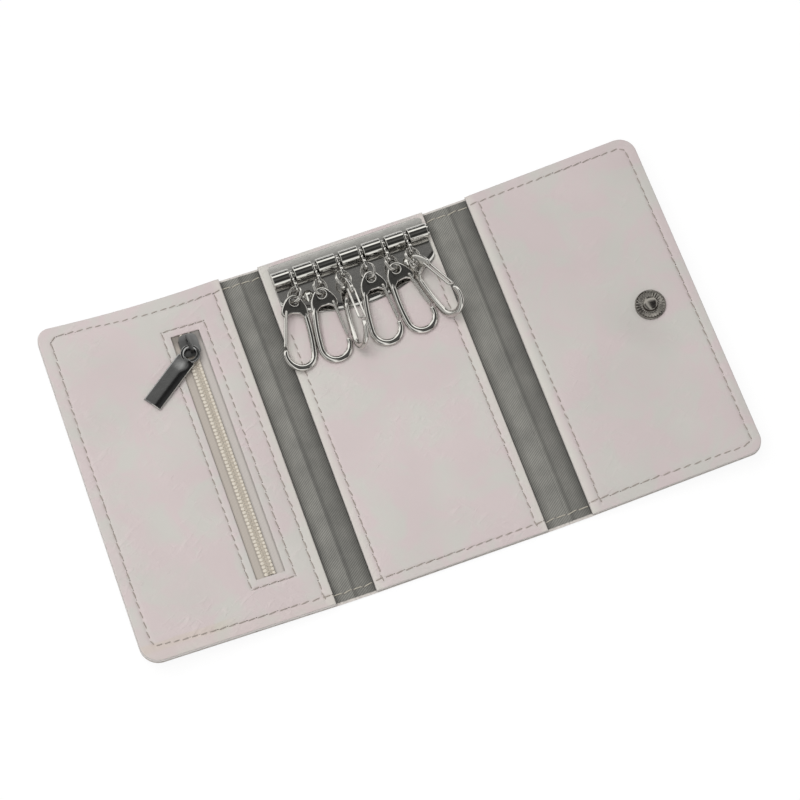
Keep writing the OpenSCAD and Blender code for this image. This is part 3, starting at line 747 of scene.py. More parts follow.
def from_runs(u, y, runs):
    """The distance to the nearest of some straight runs."""
    d = np.full_like(u, 1e3)
    for (u0, y0), (u1, y1) in runs:
        run = np.array([u1 - u0, y1 - y0])
        t = np.clip(((u - u0) * run[0] + (y - y0) * run[1]) / (run @ run), 0, 1)
        d = np.minimum(d, np.hypot(u - u0 - t * run[0], y - y0 - t * run[1]))
    return d


def groove(u, y, runs):
    """The dent that a seam pulls into leather: 0.15 exp(-(d / 0.5) squared), with d the
    distance to the nearest seam."""
    return 0.15 * np.exp(-(from_runs(u, y, runs) / 0.5) ** 2)


def swell(u, y, runs):
    """Leather stands proud between seams: 0.10 (1 - exp(-d / 2.5)), with d the distance to the
    nearest seam."""
    return 0.10 * (1 - np.exp(-from_runs(u, y, runs) / 2.5))


def waver(u, y):
    """Long low waves in a leather face: 0.05 times the product of a sine of u over 8.5 and a
    sine of y over 13, plus 0.6 of a sine of u over 17 plus y over 23."""
    return 0.05 * (np.sin(u / 8.5 + 0.7) * np.sin(y / 13.0 + 0.4) + 0.6 * np.sin(u / 17 + y / 23))


def runs_of(corners, closed=False):
    """The straight runs between neighbouring corners, and back to the first if closed."""
    pairs = list(zip(corners[:-1], corners[1:]))
    return pairs + [(corners[-1], corners[0])] if closed else pairs


# the seams' corners, as u from the panel's inner edge and y, or as x and y in the middle
SEAM_Y = HEIGHT / 2 - SEAM_IN
MIDDLE_SEAM = 26.6
LEFT_RADII = (4.6, 6.3)
RIGHT_RADII = (6.0, 4.8)
ZIP_BOX = [(9.5, -46.9), (24.4, -46.9), (24.4, 46.7), (9.5, 46.7)]
LEFT_SEAM = [(0.4, 55.6), (13, 54.7), (26, 54.5), (36, 54.8), (45, 55.5), (57.8, 56.1),
             (60.2, 54.6), (60.6, 20), (60.4, -52.5), (59.5, -54.9), (51, -55.6), (42, -56.0),
             (26, -56.3), (4, -56.5), (0.4, -56.6)]
LEFT_SPINE = [(3.1, -58.0), (3.1, 55.2)]
RIGHT_SEAM = [(0.4, SEAM_Y), (55.0, SEAM_Y), (57.0, SEAM_Y - 1.6), (57.2, 0), (57.2, -56.0),
              (53.4, -56.7), (40, -56.35), (22, -55.9), (0.4, -55.9)]
RIGHT_SPINE = [(4.0, -57.8), (4.0, SEAM_Y)]
MIDDLE_BASE = [(-MIDDLE_W / 2 + 0.4, -SEAM_Y), (MIDDLE_W / 2 - 0.4, -SEAM_Y)]
MIDDLE_LEFT = [(-MIDDLE_SEAM, -SEAM_Y), (-MIDDLE_SEAM, SEAM_Y)]
MIDDLE_RIGHT = [(MIDDLE_SEAM, -SEAM_Y), (MIDDLE_SEAM, SEAM_Y)]
LEFT_RUNS = runs_of(LEFT_SEAM) + runs_of(LEFT_SPINE) + runs_of(ZIP_BOX, True)
RIGHT_RUNS = runs_of(RIGHT_SEAM) + runs_of(RIGHT_SPINE)
MIDDLE_RUNS = runs_of(MIDDLE_BASE) + runs_of(MIDDLE_LEFT) + runs_of(MIDDLE_RIGHT)


def left_face():
    """The zip pocket's leather, with the window left out. Height is the panel's height, less the
    rounding at the outline and at the window, less the seams' groove, plus the swell and the
    waver, which fade to nothing over the last 3 mm before an edge. The underside steps up from
    1.72 to 3.02 between 4.7 and 5.3 mm in, where the pocket's room begins."""
    cut = ((ZIP_U - WINDOW_W / 2, ZIP_U + WINDOW_W / 2), (-WINDOW_H / 2, WINDOW_H / 2))
    u, y = grid(LEFT_W, 0.75, (3.1, 9.5, 24.4, 60.5), (SEAM_Y, -SEAM_Y, 46.7, -46.9),
                cut, LEFT_RADII)
    cu, cy = (u[1:, 1:] + u[:-1, :-1]) / 2, (y[1:, 1:] + y[:-1, :-1]) / 2
    keep = ~((cu > cut[0][0]) & (cu < cut[0][1]) & (cy > cut[1][0]) & (cy < cut[1][1]))
    outline = corner_distance(u, y, LEFT_W, LEFT_RADII)
    window = np.maximum(np.maximum(cut[0][0] - u, u - cut[0][1]),
                        np.maximum(cut[1][0] - y, y - cut[1][1]))
    window = np.abs(window)
    calm = np.clip(np.minimum(outline, window) / 3, 0, 1)
    top = (LEFT_Z - np.where(u < 1.2, rounding(outline, 0.6), rounding(outline, 0.35))
           - rounding(window, 0.3) - groove(u, y, LEFT_RUNS)
           + (swell(u, y, LEFT_RUNS) + waver(u, y)) * calm)
    room = np.clip((outline - 4.7) / 0.6, 0, 1)
    rim_low, room_low = 1.72, 3.02
    bottom = rim_low + (room_low - rim_low) * room
    y = y - sag(u, y, LEFT_W, TOP_DIP)
    x = -LEFT_EDGE - u
    part = shell(x[::-1], y[::-1], top[::-1], bottom[::-1], keep[::-1])

    def inward(x, y):
        """Distance in from the outline, of a flat place with the top edge's dip."""
        u = -x - LEFT_EDGE
        return corner_distance(u, y + sag(u, y, LEFT_W, TOP_DIP), LEFT_W, LEFT_RADII)

    return rim_tagged(part, inward)


def right_face():
    """The closing flap's leather. Height is the panel's height, less the edge rounding and the
    seams' groove, plus the swell and the waver, which fade near the edges and the snap, less a
    ring-shaped dent 0.12 deep, exp(-((r - 5.3) / 0.9) squared), at distance r from the snap."""
    u, y = grid(RIGHT_W, 0.75, (4.0, 57.2), (SEAM_Y, -SEAM_Y), radii=RIGHT_RADII)
    outline = corner_distance(u, y, RIGHT_W, RIGHT_RADII)
    calm = np.clip(outline / 3, 0, 1)
    snap = np.hypot(u - SNAP_U, y)
    calm *= np.clip((snap - 4) / 6, 0, 1)
    top = (RIGHT_Z - np.where(u < 1.2, rounding(outline, 0.6), rounding(outline, 0.35))
           - groove(u, y, RIGHT_RUNS) + (swell(u, y, RIGHT_RUNS) + waver(u + 20, y)) * calm
           - 0.12 * np.exp(-((snap - 5.3) / 0.9) ** 2))
    part = shell(RIGHT_EDGE + u, y, top, np.full_like(u, RIGHT_Z - 0.88))
    return rim_tagged(part, lambda x, y: corner_distance(x - RIGHT_EDGE, y, RIGHT_W, RIGHT_RADII))


def middle_face():
    """The leather under the rail. Height is the panel's height, less the edge rounding, less the
    seams' groove, plus 0.6 of the swell and 0.7 of the waver, which fade over the last 3 mm
    before an edge. All but the rounding fade to nothing from y = 28 to y = 33, where the rail
    covers the leather."""
    half = MIDDLE_W / 2
    xs = lines(-half, half, 0.75, (-MIDDLE_SEAM, MIDDLE_SEAM))
    ys = lines(-HEIGHT / 2, HEIGHT / 2, 0.75, (-SEAM_Y, SEAM_Y))
    x, y = np.meshgrid(xs, ys, indexing="ij")
    outline = np.minimum(half - np.abs(x), HEIGHT / 2 - np.abs(y))
    under_rail = np.clip((33 - y) / 5, 0, 1)
    top = (MIDDLE_Z - rounding(outline, 0.5) - groove(x, y, MIDDLE_RUNS) * under_rail
           + (0.6 * swell(x, y, MIDDLE_RUNS) + 0.7 * waver(x + 40, y)) * under_rail
           * np.clip(outline / 3, 0, 1))
    part = shell(x, y, top, np.full_like(x, MIDDLE_Z - 0.88))
    return rim_tagged(part, lambda x, y: np.minimum(half - np.abs(x), HEIGHT / 2 - np.abs(y)))


def node_middle(node):
    """The mean of a CAD node's vertices, in millimetres, which is its middle if it's round."""
    mesh = next(o for o in bpy.data.objects if o.name == node).data
    points = np.empty(len(mesh.vertices) * 3)
    mesh.vertices.foreach_get("co", points)
    return points.reshape(-1, 3).mean(0) / MM


def outer_skin(side, start, end, tip_width=None, dip=0.0, radii=(CORNER_R, CORNER_R),
               hole=None):
    """A stretch of the outer leather, from flat x = start to end on one side of the case: a flat
    sheet 0.9 thick, whose underside curves up to its edges as a quarter round of 0.35. With
    tip_width it runs to the round outer corners. Cells whose middle lies within SOCKET_HOLE of
    hole, a point on the left panel, are left out for the snap's socket."""
    if tip_width:
        u, y = grid(end - start, 0.7, radii=radii)
        d = corner_distance(u, y, end - start, radii, inner=False)
        y = y - sag(u - (end - start - tip_width), y, tip_width, dip) * (
            u > end - start - tip_width)
    else:
        us = np.arange(0, end - start + 1e-6, (end - start) / round((end - start) / 0.6))
        u, y = np.meshgrid(us, lines(-HEIGHT / 2, HEIGHT / 2, 0.9), indexing="ij")
        d = HEIGHT / 2 - np.abs(y)
    x = side * (start + u)
    if side < 0:
        x, y, d = x[::-1], y[::-1], d[::-1]
    keep = None
    if hole is not None:
        middle = np.stack([(g[:-1, :-1] + g[1:, 1:]) / 2 for g in (x, y, 0 * x)], -1)
        away = on_left(middle.reshape(-1, 3))[:, :2] - hole[:2]
        keep = np.hypot(*away.T).reshape(middle.shape[:2]) > SOCKET_HOLE
    return shell(x, y, np.full_like(x, 0.9), rounding(d, 0.35), keep)


def lining_strip(side, start, end, wall_start, wall_end):
    """Half of one fold's cloth. With t from 0 to 1 across the wall, height is 1.30 plus a crown
    0.55 sin(pi t) and a crease that falls off as exp(-((t - its place) / 0.05) squared), a ridge
    on the left and a valley on the right, with a weaker second one. Beside the seams there are
    small puckers, 0.07 sin(2.1 u) times exp(-(distance to the seam / 3) squared). All of it
    fades to the flat over the last 8 mm before a seam."""
    n = max(6, int(round((end - start) / 0.3)))
    us = np.linspace(start, end, n)
    half = HEIGHT / 2 - 0.8
    ys = lines(-half, half, 0.9)
    u, y = np.meshgrid(us, ys, indexing="ij")
    t = np.clip((u - wall_start) / (wall_end - wall_start), 0, 1)
    crown = 0.55 * np.sin(np.pi * t)
    crease_at = (0.55 if side < 0 else 0.58) + 0.05 * np.sin(y / 31 + 0.5)
    crease = (0.32 if side < 0 else -0.30) * np.exp(-((t - crease_at) / 0.05) ** 2)
    crease = crease * (0.75 + 0.25 * np.sin(y / 19 + 1))
    second = crease_at + (0.24 if side < 0 else -0.28)
    crease += 0.16 * np.exp(-((t - second) / 0.06) ** 2) * np.clip(np.sin(y / 23), 0, 1)
    held = np.clip((SEAM_Y - np.abs(y)) / 8, 0, 1)
    held = held * held * (3 - 2 * held)
    pucker = 0.07 * np.sin(u * 2.1) * np.exp(-((SEAM_Y - np.abs(y)) / 3) ** 2)
    top = 1.30 + (crown + crease) * held + pucker * held
    x = side * u
    if side < 0:
        x, y, top = x[::-1], y[::-1], top[::-1]
    return shell(x, y, top, np.full_like(top, 0.95))


# a stitch's slant to its seam in degrees, and half the length of a needle hole
SLANT = 7.0
NEEDLE_HOLE = 0.24


def stitches(corners, height, pitch, share=0.86, thick=0.17, closed=False, below=False, seed=3):
    """Thread along straight runs, one stitch to each equal share of a run, turned by SLANT and
    a little at random. With t from -1 to 1 along a stitch, its middle rises 0.16 - 0.42 t to
    the fourth, so both ends dive into the leather, and its half width is thick times
    1 - 0.35 t to the sixth. A flat oval lies at each stitch's end, for the painted shade in its
    needle hole."""
    rng = np.random.default_rng(seed)
    t = np.linspace(-1, 1, 7)
    angle = np.linspace(0, 2 * np.pi, 6, endpoint=False)
    middles, along, length = [], [], []
    for (x0, y0), (x1, y1) in runs_of(corners, closed):
        run = np.array([x1 - x0, y1 - y0])
        size = np.hypot(*run)
        count = max(1, int(round(size / pitch)))
        at = (np.arange(count) + 0.5) / count
        middles.append(np.stack([x0 + at * run[0], y0 + at * run[1]], 1))
        along.append(np.tile(run / size, (count, 1)))
        length.append(np.full(count, size / count * share))
    middles, along, length = np.vstack(middles), np.vstack(along), np.concatenate(length)
    n = len(middles)
    swing = np.radians(SLANT + rng.normal(0, 2.0, n))
    c, s = np.cos(swing), np.sin(swing)
    along = np.stack([along[:, 0] * c - along[:, 1] * s, along[:, 0] * s + along[:, 1] * c], 1)
    across = np.stack([-along[:, 1], along[:, 0]], 1)
    middles = middles + rng.normal(0, 0.05, (n, 2))
    rise = (0.16 - 0.42 * t ** 4)[None, :, None]
    width = (thick * (1 - 0.35 * t ** 6))[None, :, None]
    span = (t * 0.5)[None, :, None] * length[:, None, None]
    side_way = width * np.cos(angle)[None, None]
    up = rise + 0.75 * width * np.sin(angle)[None, None]
    points = np.empty((n, len(t), len(angle), 3))
    for k in range(2):
        points[..., k] = (middles[:, k, None, None] + span * along[:, k, None, None]
                          + side_way * across[:, k, None, None])
    points[..., 2] = height + (-up if below else up)
    pits = (middles + along * length[:, None] * (0.5 / share))[:, None]
    way = np.stack([np.cos(angle), np.sin(angle)], 1)[None] * np.array([1.0, 0.8])
    pits = pits + NEEDLE_HOLE * (way[..., :1] * along[:, None] + way[..., 1:] * across[:, None])
    m, q = len(t), len(angle)
    one = round_faces(m, q)[:, [0, 3, 2, 1]]
    if not below:
        one = one[:, ::-1]
    faces = repeated(one, n, m * q)
    points = points.reshape(-1, 3)
    level = height + (0.05 if below else -0.05)
    disc = np.dstack([pits, np.full(pits.shape[:2], level)]).reshape(-1, 3)
    two = np.array([[0, 1, 2, 3], [0, 3, 4, 5]])
    if below:
        two = two[:, ::-1]
    dots = repeated(two, n, q) + len(points)
    points = np.vstack([points, disc])
    tags = np.concatenate([np.zeros(len(faces), int), np.ones(len(dots), int)])
    return points, np.vstack([faces, dots]), tags, points.copy()


# ---- settings ----

class KeyCaseSettings(bpy.types.PropertyGroup):
    """The colours, sizes and light that a user may change"""
    leather_main: FloatVectorProperty(
        name="Leather", description="The leather's rosier tint", subtype="COLOR", size=3,
        min=0, max=1, default=linear(211, 198, 197))
    leather_cool: FloatVectorProperty(
        name="Leather cloud", description="The cooler tint clouded into the leather",
        subtype="COLOR", size=3, min=0, max=1, default=linear(206, 203, 197))
    twill: FloatVectorProperty(
        name="Lining", description="The lining cloth over the folds", subtype="COLOR", size=3,
        min=0, max=1, default=linear(127, 126, 121))
    coil: FloatVectorProperty(
        name="Zip coil", description="The zip's nylon coil", subtype="COLOR", size=3,
        min=0, max=1, default=linear(207, 197, 182))
    dark_plate: FloatVectorProperty(
        name="Dark metal", description="The slider and its pull", subtype="COLOR", size=3,
        min=0, max=1, default=(0.34, 0.34, 0.342))
    bright_plate: FloatVectorProperty(
        name="Bright metal", description="The key rail", subtype="COLOR", size=3,
        min=0, max=1, default=(0.66, 0.65, 0.62))
    hook_plate: FloatVectorProperty(
        name="Hook metal", description="The hooks, rings and hangers", subtype="COLOR", size=3,
        min=0, max=1, default=(0.64, 0.625, 0.60))
    stitch_pitch: FloatProperty(
        name="Stitch pitch", description="From one stitch to the next", subtype="DISTANCE",
        unit="LENGTH", default=0.0034, min=0.002, max=0.006)
    coil_pitch: FloatProperty(
        name="Coil pitch", description="From one turn of the zip's coil to the next",
        subtype="DISTANCE", unit="LENGTH", default=0.0013, min=0.0008, max=0.002)
    snap_ribs: IntProperty(
        name="Snap ribs", description="Ribs pressed round the snap's dish", default=28,
        min=12, max=48)
    light: FloatProperty(
        name="Light", description="The lamp over the case", subtype="POWER", unit="POWER",
        default=7.05, min=0, max=50)


def settings():
    """The scene's settings."""
    return bpy.context.scene.key_case


FINISHES = {}


def finish(name):
    """Each finish is made once, from the settings."""
    if name not in FINISHES:
        s = settings()
        main, cool = tuple(s.leather_main), tuple(s.leather_cool)
        FINISHES[name] = {
            "leather": lambda: pearl_leather("pearl leather", main, cool,
                                             (-MIDDLE_W / 2, MIDDLE_W / 2)),
            # painted shade: the flap is the same leather painted 7 per cent darker, for the lesser light
            # it gets
            "flap leather": lambda: pearl_leather(
                "pearl leather, flap", tuple(c * 0.93 for c in main),
                tuple(c * 0.93 for c in cool), (RIGHT_EDGE,), 0.6, shade=37.0),
            "stained leather": lambda: pearl_leather(
                "pearl leather, zip panel", main, cool, (-LEFT_EDGE,),
                stain=linear(206, 194, 177)),
            # real edge paint, but painted much paler than the real edge as painted light, to offset the
            # shade the walls face
            "edge": lambda: edge_paint("edge paint", linear(242, 234, 229)),
            # a thin greyer line, darker in patches, round the top of each leather face's outline
            "painted rim": lambda: edge_paint("edge paint, rim", linear(210, 204, 200)),
            # painted shade: the dark oval at each stitch's end stands in for the shade in its needle
            # hole
            "needle hole": lambda: edge_paint("needle hole", linear(104, 94, 88)),
            "flesh": lambda: edge_paint("leather flesh side", linear(222, 216, 210)),
            "twill": lambda: twill_cloth("grey twill", tuple(s.twill), folds=True),
            "pocket cloth": lambda: twill_cloth("pocket cloth", linear(96, 97, 92)),
            "tape rose": lambda: tape_cloth("zip tape, spine side", linear(218, 211, 205),
                                           darkened_by_place=True),
            "tape dun": lambda: tape_cloth("zip tape, outer side", linear(208, 199, 189),
                                           darkened_by_place=True),
            "coil": lambda: coil_nylon("cream coil", tuple(s.coil)),
            "coil cord": lambda: tape_cloth("cream coil cord", linear(207, 198, 184)),
            "coil sewing": lambda: sewing_thread("cream coil sewing", linear(229, 221, 207), 0.92),
            "thread": lambda: sewing_thread("grey-brown thread", linear(180, 170, 161)),
            "pale thread": lambda: sewing_thread("cream thread", linear(204, 198, 184)),
            "slider metal": lambda: plated_metal("dark slider metal",
                                                 tuple(0.62 * c for c in s.dark_plate), 0.34),
            "dark metal": lambda: plated_metal("dark plate", tuple(s.dark_plate), 0.07, 0.04),
            "bright metal": lambda: plated_metal("bright plate", tuple(s.bright_plate), 0.06, 0.04),
            "plate metal": lambda: plated_metal("rail plate", (0.50, 0.49, 0.475), 0.10, 0.06),
            "hook metal": lambda: plated_metal("hook plate", tuple(s.hook_plate), 0.08, 0.05, 0.03),
            "snap metal": lambda: plated_metal("snap plate", (0.26, 0.245, 0.225), 0.14, 0.10),
            "board": lambda: stiff_board("fibre board", linear(120, 117, 110)),
        }[name]()
    return FINISHES[name]


def dress(node, name):
    """A CAD node that stays gets its finish."""
    for held in frame["nodes"][node].material_slots:
        held.material = finish(name)


# ---- operators ----

class KEYCASE_OT_outer_leather(bpy.types.Operator):
    """The outer leather, in four stretches that bend at the folds"""
    bl_idname = "keycase.outer_leather"
    bl_label = "Outer leather"

    def execute(self, context):
        looks = [finish("flesh"), finish("leather"), finish("edge")]
        left_mid = -LEFT_ROOT[0] + LEFT_WALL / 2
        right_mid = RIGHT_ROOT[0] + RIGHT_WALL / 2
        left_end, right_end = LEFT_EDGE + LEFT_W, RIGHT_EDGE + RIGHT_W
        hole = node_middle("snap_socket")
        pieces = [
            ("skin_middle_left", outer_skin(-1, 0, left_mid), (on_middle, on_left_wall),
             ("middle", "left_wall"), (LEFT_ROOT, LEFT_ROOT[0], -1),
             ("cover_middle", "cover_left_fold")),
            ("skin_left", outer_skin(-1, left_mid, left_end, LEFT_W, TOP_DIP, LEFT_RADII, hole),
             (on_left_wall, on_left),
             ("left_wall", "left_panel"), (LEFT_OUTER, -LEFT_FOLD, -1), ("cover_left",)),
            ("skin_middle_right", outer_skin(1, 0, right_mid), (on_middle, on_right_wall),
             ("middle", "right_wall"), (RIGHT_ROOT, RIGHT_ROOT[0], 1), ("cover_right_fold",)),
            ("skin_right", outer_skin(1, right_mid, right_end, RIGHT_W, radii=RIGHT_RADII),
             (on_right_wall, on_right),
             ("right_wall", "right_panel"), (RIGHT_OUTER, RIGHT_FOLD, 1), ("cover_right",)),
        ]
        for name, part, places, bodies, (fold, x, side), nodes in pieces:
            obj = add_piece(name, put(part, lambda p: eased(p, x, side, *places)), looks)
            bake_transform(obj)
            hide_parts(*nodes)
        return {"FINISHED"}


class KEYCASE_OT_inner_leather(bpy.types.Operator):
    """The three inner leather faces, over their boards"""
    bl_idname = "keycase.inner_leather"
    bl_label = "Inner leather"

    def execute(self, context):
        rest = [finish("flesh"), finish("edge"), finish("painted rim")]
        stained_looks = [finish("stained leather"), *rest]
        plain_looks = [finish("leather"), *rest]
        shaded_flap_looks = [finish("flap leather"), *rest]
        for name, part, looks, body, node in (
                ("leather_left", put(left_face(), on_left), stained_looks, "left_panel",
                 "face_left"),
                ("leather_middle", middle_face(), plain_looks, "middle", "face_middle"),
                ("leather_right", put(right_face(), on_right), shaded_flap_looks, "right_panel",
                 "face_right")):
            obj = add_piece(name, part, looks)
            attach(obj, body)
            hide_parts(node)
        for node in ("board_left", "board_middle", "board_right"):
            dress(node, "board")
        return {"FINISHED"}


class KEYCASE_OT_linings(bpy.types.Operator):
    """The cloth over each fold, in two halves shaped across it at rest, and the pocket's back"""
    bl_idname = "keycase.linings"
    bl_label = "Linings"

    def execute(self, context):
        looks = [finish("twill")] * 3 + [finish("pale thread"), finish("needle hole")]
        for side, root, outer, wall, edge, names, bodies, node in (
                (-1, LEFT_ROOT, LEFT_OUTER, LEFT_WALL, LEFT_EDGE, "left",
                 ("left_wall", "left_panel"), "lining_left"),
                (1, RIGHT_ROOT, RIGHT_OUTER, RIGHT_WALL, RIGHT_EDGE, "right",
                 ("right_wall", "right_panel"), "lining_right")):
            near, far = abs(root[0]), abs(root[0]) + wall
            middle = near + wall / 2
            on_wall, on_panel = (on_left_wall, on_left) if side < 0 else (on_right_wall, on_right)
            begin, end = MIDDLE_W / 2 + 0.06, edge - 0.06
            for half, lo, hi, at, fold, before, after, pair, word in (
                    ("inner", begin, middle, side * near, root, on_middle, on_wall,
                     ("middle", bodies[0]), f"skin_middle_{names}"),
                    ("outer", middle, end, side * far, outer, on_wall, on_panel, bodies,
                     f"skin_{names}")):
                cloth = lining_strip(side, lo, hi, begin, end)
                thread = merge([
                    stitches([(side * lo, y), (side * hi, y)], 1.36, 3.3, 0.93, 0.2)
                    for y in (SEAM_Y, -SEAM_Y)])
                whole = merge([cloth, tagged(thread, thread[2] + 3)])
                whole = put(whole, lambda p: eased(p, at, side, before, after))
                obj = add_piece(f"lining_{names}_{half}", whole, looks)
                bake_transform(obj)
                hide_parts(node)
        u, y = grid(LEFT_W - 0.3, 2.0)
        y = y * (HEIGHT - 0.6) / HEIGHT
        y = y - sag(u, y, LEFT_W, TOP_DIP)
        x = -LEFT_EDGE - u
        part = shell(x[::-1], y[::-1], np.full_like(x, 1.69), np.full_like(x, 1.52))
        obj = add_piece("pocket_back", put(part, on_left), [finish("pocket cloth")] * 3)
        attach(obj, "left_panel")
        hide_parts("pocket_lining")
        return {"FINISHED"}


def tape_part(side):
    """A zip tape. At distance u from the zip's middle its height is 2.96, plus a rise under the
    coil of 0.05 exp(-((u - 1.2) / 1.1) squared), less a ripple of 0.02 cos(2.5 u)."""
    us = np.linspace(0.35, 0.35 + TAPE_W, 32)
    ys = np.linspace(-WINDOW_H / 2 - TAPE_PAST, WINDOW_H / 2 + TAPE_PAST, 60)
    u, y = np.meshgrid(us, ys, indexing="ij")
    top = 2.96 + 0.05 * np.exp(-((u - 1.2) / 1.1) ** 2) - 0.02 * np.cos(u * 2.5)
    x = -LEFT_EDGE - ZIP_U + side * u
    if side < 0:
        x, y, top = x[::-1], y[::-1], top[::-1]
    return shell(x, y, top, top - 0.24)


def coil_part(side, pitch):
    """One coil row and its sewing: a flattened helix, x = 0.85 + 0.85 cos a and z = 0.16 sin a,
    whose inner turns reach the zip's middle between the other row's, on a cord core, and a
    plump bead of thread over each turn, a ball squashed to its three half-axes."""
    turns = WINDOW_H / pitch
    core_x, core_y = np.meshgrid(np.linspace(0, 1.9, 8), np.linspace(-44, 44, 40), indexing="ij")
    core_top = 3.38 + 0.05 * np.cos(core_x * 1.2)
    core_x = -LEFT_EDGE - ZIP_U + side * core_x
    if side < 0:
        core_x, core_y, core_top = core_x[::-1], core_y[::-1], core_top[::-1]
    core = tagged(shell(core_x, core_y, core_top, core_top - 0.12), 2)
    a = np.linspace(0, 2 * np.pi * turns, int(turns * 12))
    lag = 0.0 if side > 0 else np.pi
    x = side * (0.85 + 0.85 * np.cos(a + lag))
    z = 3.22 + 0.16 * np.sin(a + lag)
    y = -WINDOW_H / 2 + 0.2 + (WINDOW_H - 0.4) * a / a[-1]
    path = np.stack([-LEFT_EDGE - ZIP_U + x, y, z], 1)
    coil = tube(path, 0.27, 6, up=(0, 1, 0.01))
    rows = int(turns)
    levels, sides = 7, 9
    up = np.linspace(-np.pi / 2, np.pi / 2, levels)[:, None]
    about = np.linspace(0, 2 * np.pi, sides + 1)[:-1]
    ball = np.stack([np.cos(up) * np.cos(about), np.cos(up) * np.sin(about),
                     np.broadcast_to(np.sin(up), (levels, sides))], -1).reshape(-1, 3)
    ball = ball * np.array([0.74 if side < 0 else 0.54, 0.64, 0.28])
    lean = np.radians(12 * side)
    ball[:, :2] = ball[:, :2] @ np.array([[np.cos(lean), np.sin(lean)],
                                          [-np.sin(lean), np.cos(lean)]])
    middle = np.stack([np.full(rows, -LEFT_EDGE - ZIP_U + side * 1.32),
                       -WINDOW_H / 2 + (np.arange(rows) + 0.5) * WINDOW_H / rows,
                       np.full(rows, 3.50)], 1)
    points = (middle[:, None] + ball[None]).reshape(-1, 3)
    faces = repeated(round_faces(levels, sides), rows, levels * sides)
    return merge([core, coil, (points, faces, 1, points.copy())])


class KEYCASE_OT_zip(bpy.types.Operator):
    """The zip's two tapes and its two coil rows"""
    bl_idname = "keycase.zip"
    bl_label = "Zip"

    def execute(self, context):
        pitch = settings().coil_pitch * PER_METRE
        for side, word, look in ((1, "inner", "tape rose"), (-1, "outer", "tape dun")):
            tape = add_piece(f"tape_{word}", put(tape_part(side), on_left), [finish(look)] * 3)
            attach(tape, "left_panel")
            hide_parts(f"zip_tape_{word}")
            coil = add_piece(f"coil_{word}", put(coil_part(side, pitch), on_left),
                             [finish("coil"), finish("coil sewing"), finish("coil cord")])
            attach(coil, "left_panel")
            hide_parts(f"zip_coil_{word}")
        return {"FINISHED"}


PULL_L, PULL_W, PULL_T = 21.7, 6.55, 0.9
# how far the pull slips along its own length, away from the bridge, and its angle to the zip
PULL_HANG = 1.1
PULL_TURN = 53.6
# the bridge's share of the slider's length, and the hole of the pull in the solids
BRIDGE_SHARE = 0.57
HOLE_R = 1.75


def pull_parts():
    """The pull: a bar whose top rises by 0.16 in a smooth step away from the eye, leans by
    0.07 x and falls towards one long edge by 0.26 t^2, t running from 0 past the middle to 1 at
    that edge, its edges and tip rounded off, and a round eye at its end, a rounded ring profile
    turned about the hole. The strip of its top within 0.26 of that edge or the tip, on that
    side, has the brighter finish, a painted highlight."""
    ys = -lines(2.15, PULL_L, 0.5)[::-1]
    xs = lines(-PULL_W / 2, PULL_W / 2, 0.3)
    x, y = np.meshgrid(xs, ys, indexing="ij")
    edge = np.minimum(PULL_W / 2 - np.abs(x), PULL_L + y)
    reach = np.hypot(x, y)
    swell_in = np.clip((reach - 3.2) / 4.0, 0, 1)
    fall = np.clip((x - 0.35) / (PULL_W / 2 - 0.35), 0, 1)
    crown = 0.16 * swell_in * swell_in * (3 - 2 * swell_in) - 0.26 * fall ** 2 + 0.07 * x
    top = PULL_T / 2 - rounding(edge, 0.26) + crown - 0.04 * (1 - swell_in)
    bar = shell(x, y, top, -PULL_T / 2 + rounding(edge, 0.2))
    inner, outer, h = 1.95, PULL_W / 2 + 0.05, PULL_T / 2
    profile = [(inner, -h + 0.2), (inner, h - 0.2), (inner + 0.05, h - 0.06), (inner + 0.15, h),
               (inner + 0.3, h - 0.04), (inner + 0.42, h - 0.12), (outer - 0.4, h - 0.08),
               (outer - 0.22, h - 0.04), (outer - 0.1, h - 0.1), (outer, h - 0.3),
               (outer, -h + 0.25), (outer - 0.2, -h), (inner + 0.2, -h), (inner, -h + 0.2)]
    eye = flipped(lathe(profile, 64))
    # tag 4 marks the strip of the top that gets the painted highlight
    bright, far = 4, 9
    bar = rim_tagged(bar, lambda x, y: np.where(x < 0, far, np.minimum(PULL_W / 2 - x, PULL_L + y)),
                     0.26, bright)
    return merge([tagged(bar, np.where(bar[2] == bright, 1, 0)), eye])


class KEYCASE_OT_slider(bpy.types.Operator):
    """The zip's slider and its pull"""
    bl_idname = "keycase.slider"
    bl_label = "Slider and pull"

    def execute(self, context):
        slider = softened("zip_slider", "slider", finish("slider metal"), 0.18, 3, 30)
        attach(slider, "slider")
        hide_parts("zip_slider")
        z = COIL_Z + COIL_T + GAP + SLIDER_T + GAP + PULL_T / 2
        slope = np.degrees(np.arcsin((z - (LEFT_Z + GAP + PULL_T / 2)) / PULL_L))
        eye_y = SLIDER_Y - SLIDER_L * BRIDGE_SHARE / 2 - HOLE_R / 5
        eye = np.array([-LEFT_EDGE - ZIP_U, eye_y, z])
        hang = np.array([0, PULL_HANG, 0])
        spin = (turn("z", -PULL_TURN) @ turn("x", slope)).T
        pull = add_piece("pull", put(pull_parts(), lambda p: on_left((p - hang) @ spin + eye)),
                         [finish("dark metal"), finish("bright metal")])
        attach(pull, "pull")
        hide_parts("zip_pull")
        return {"FINISHED"}


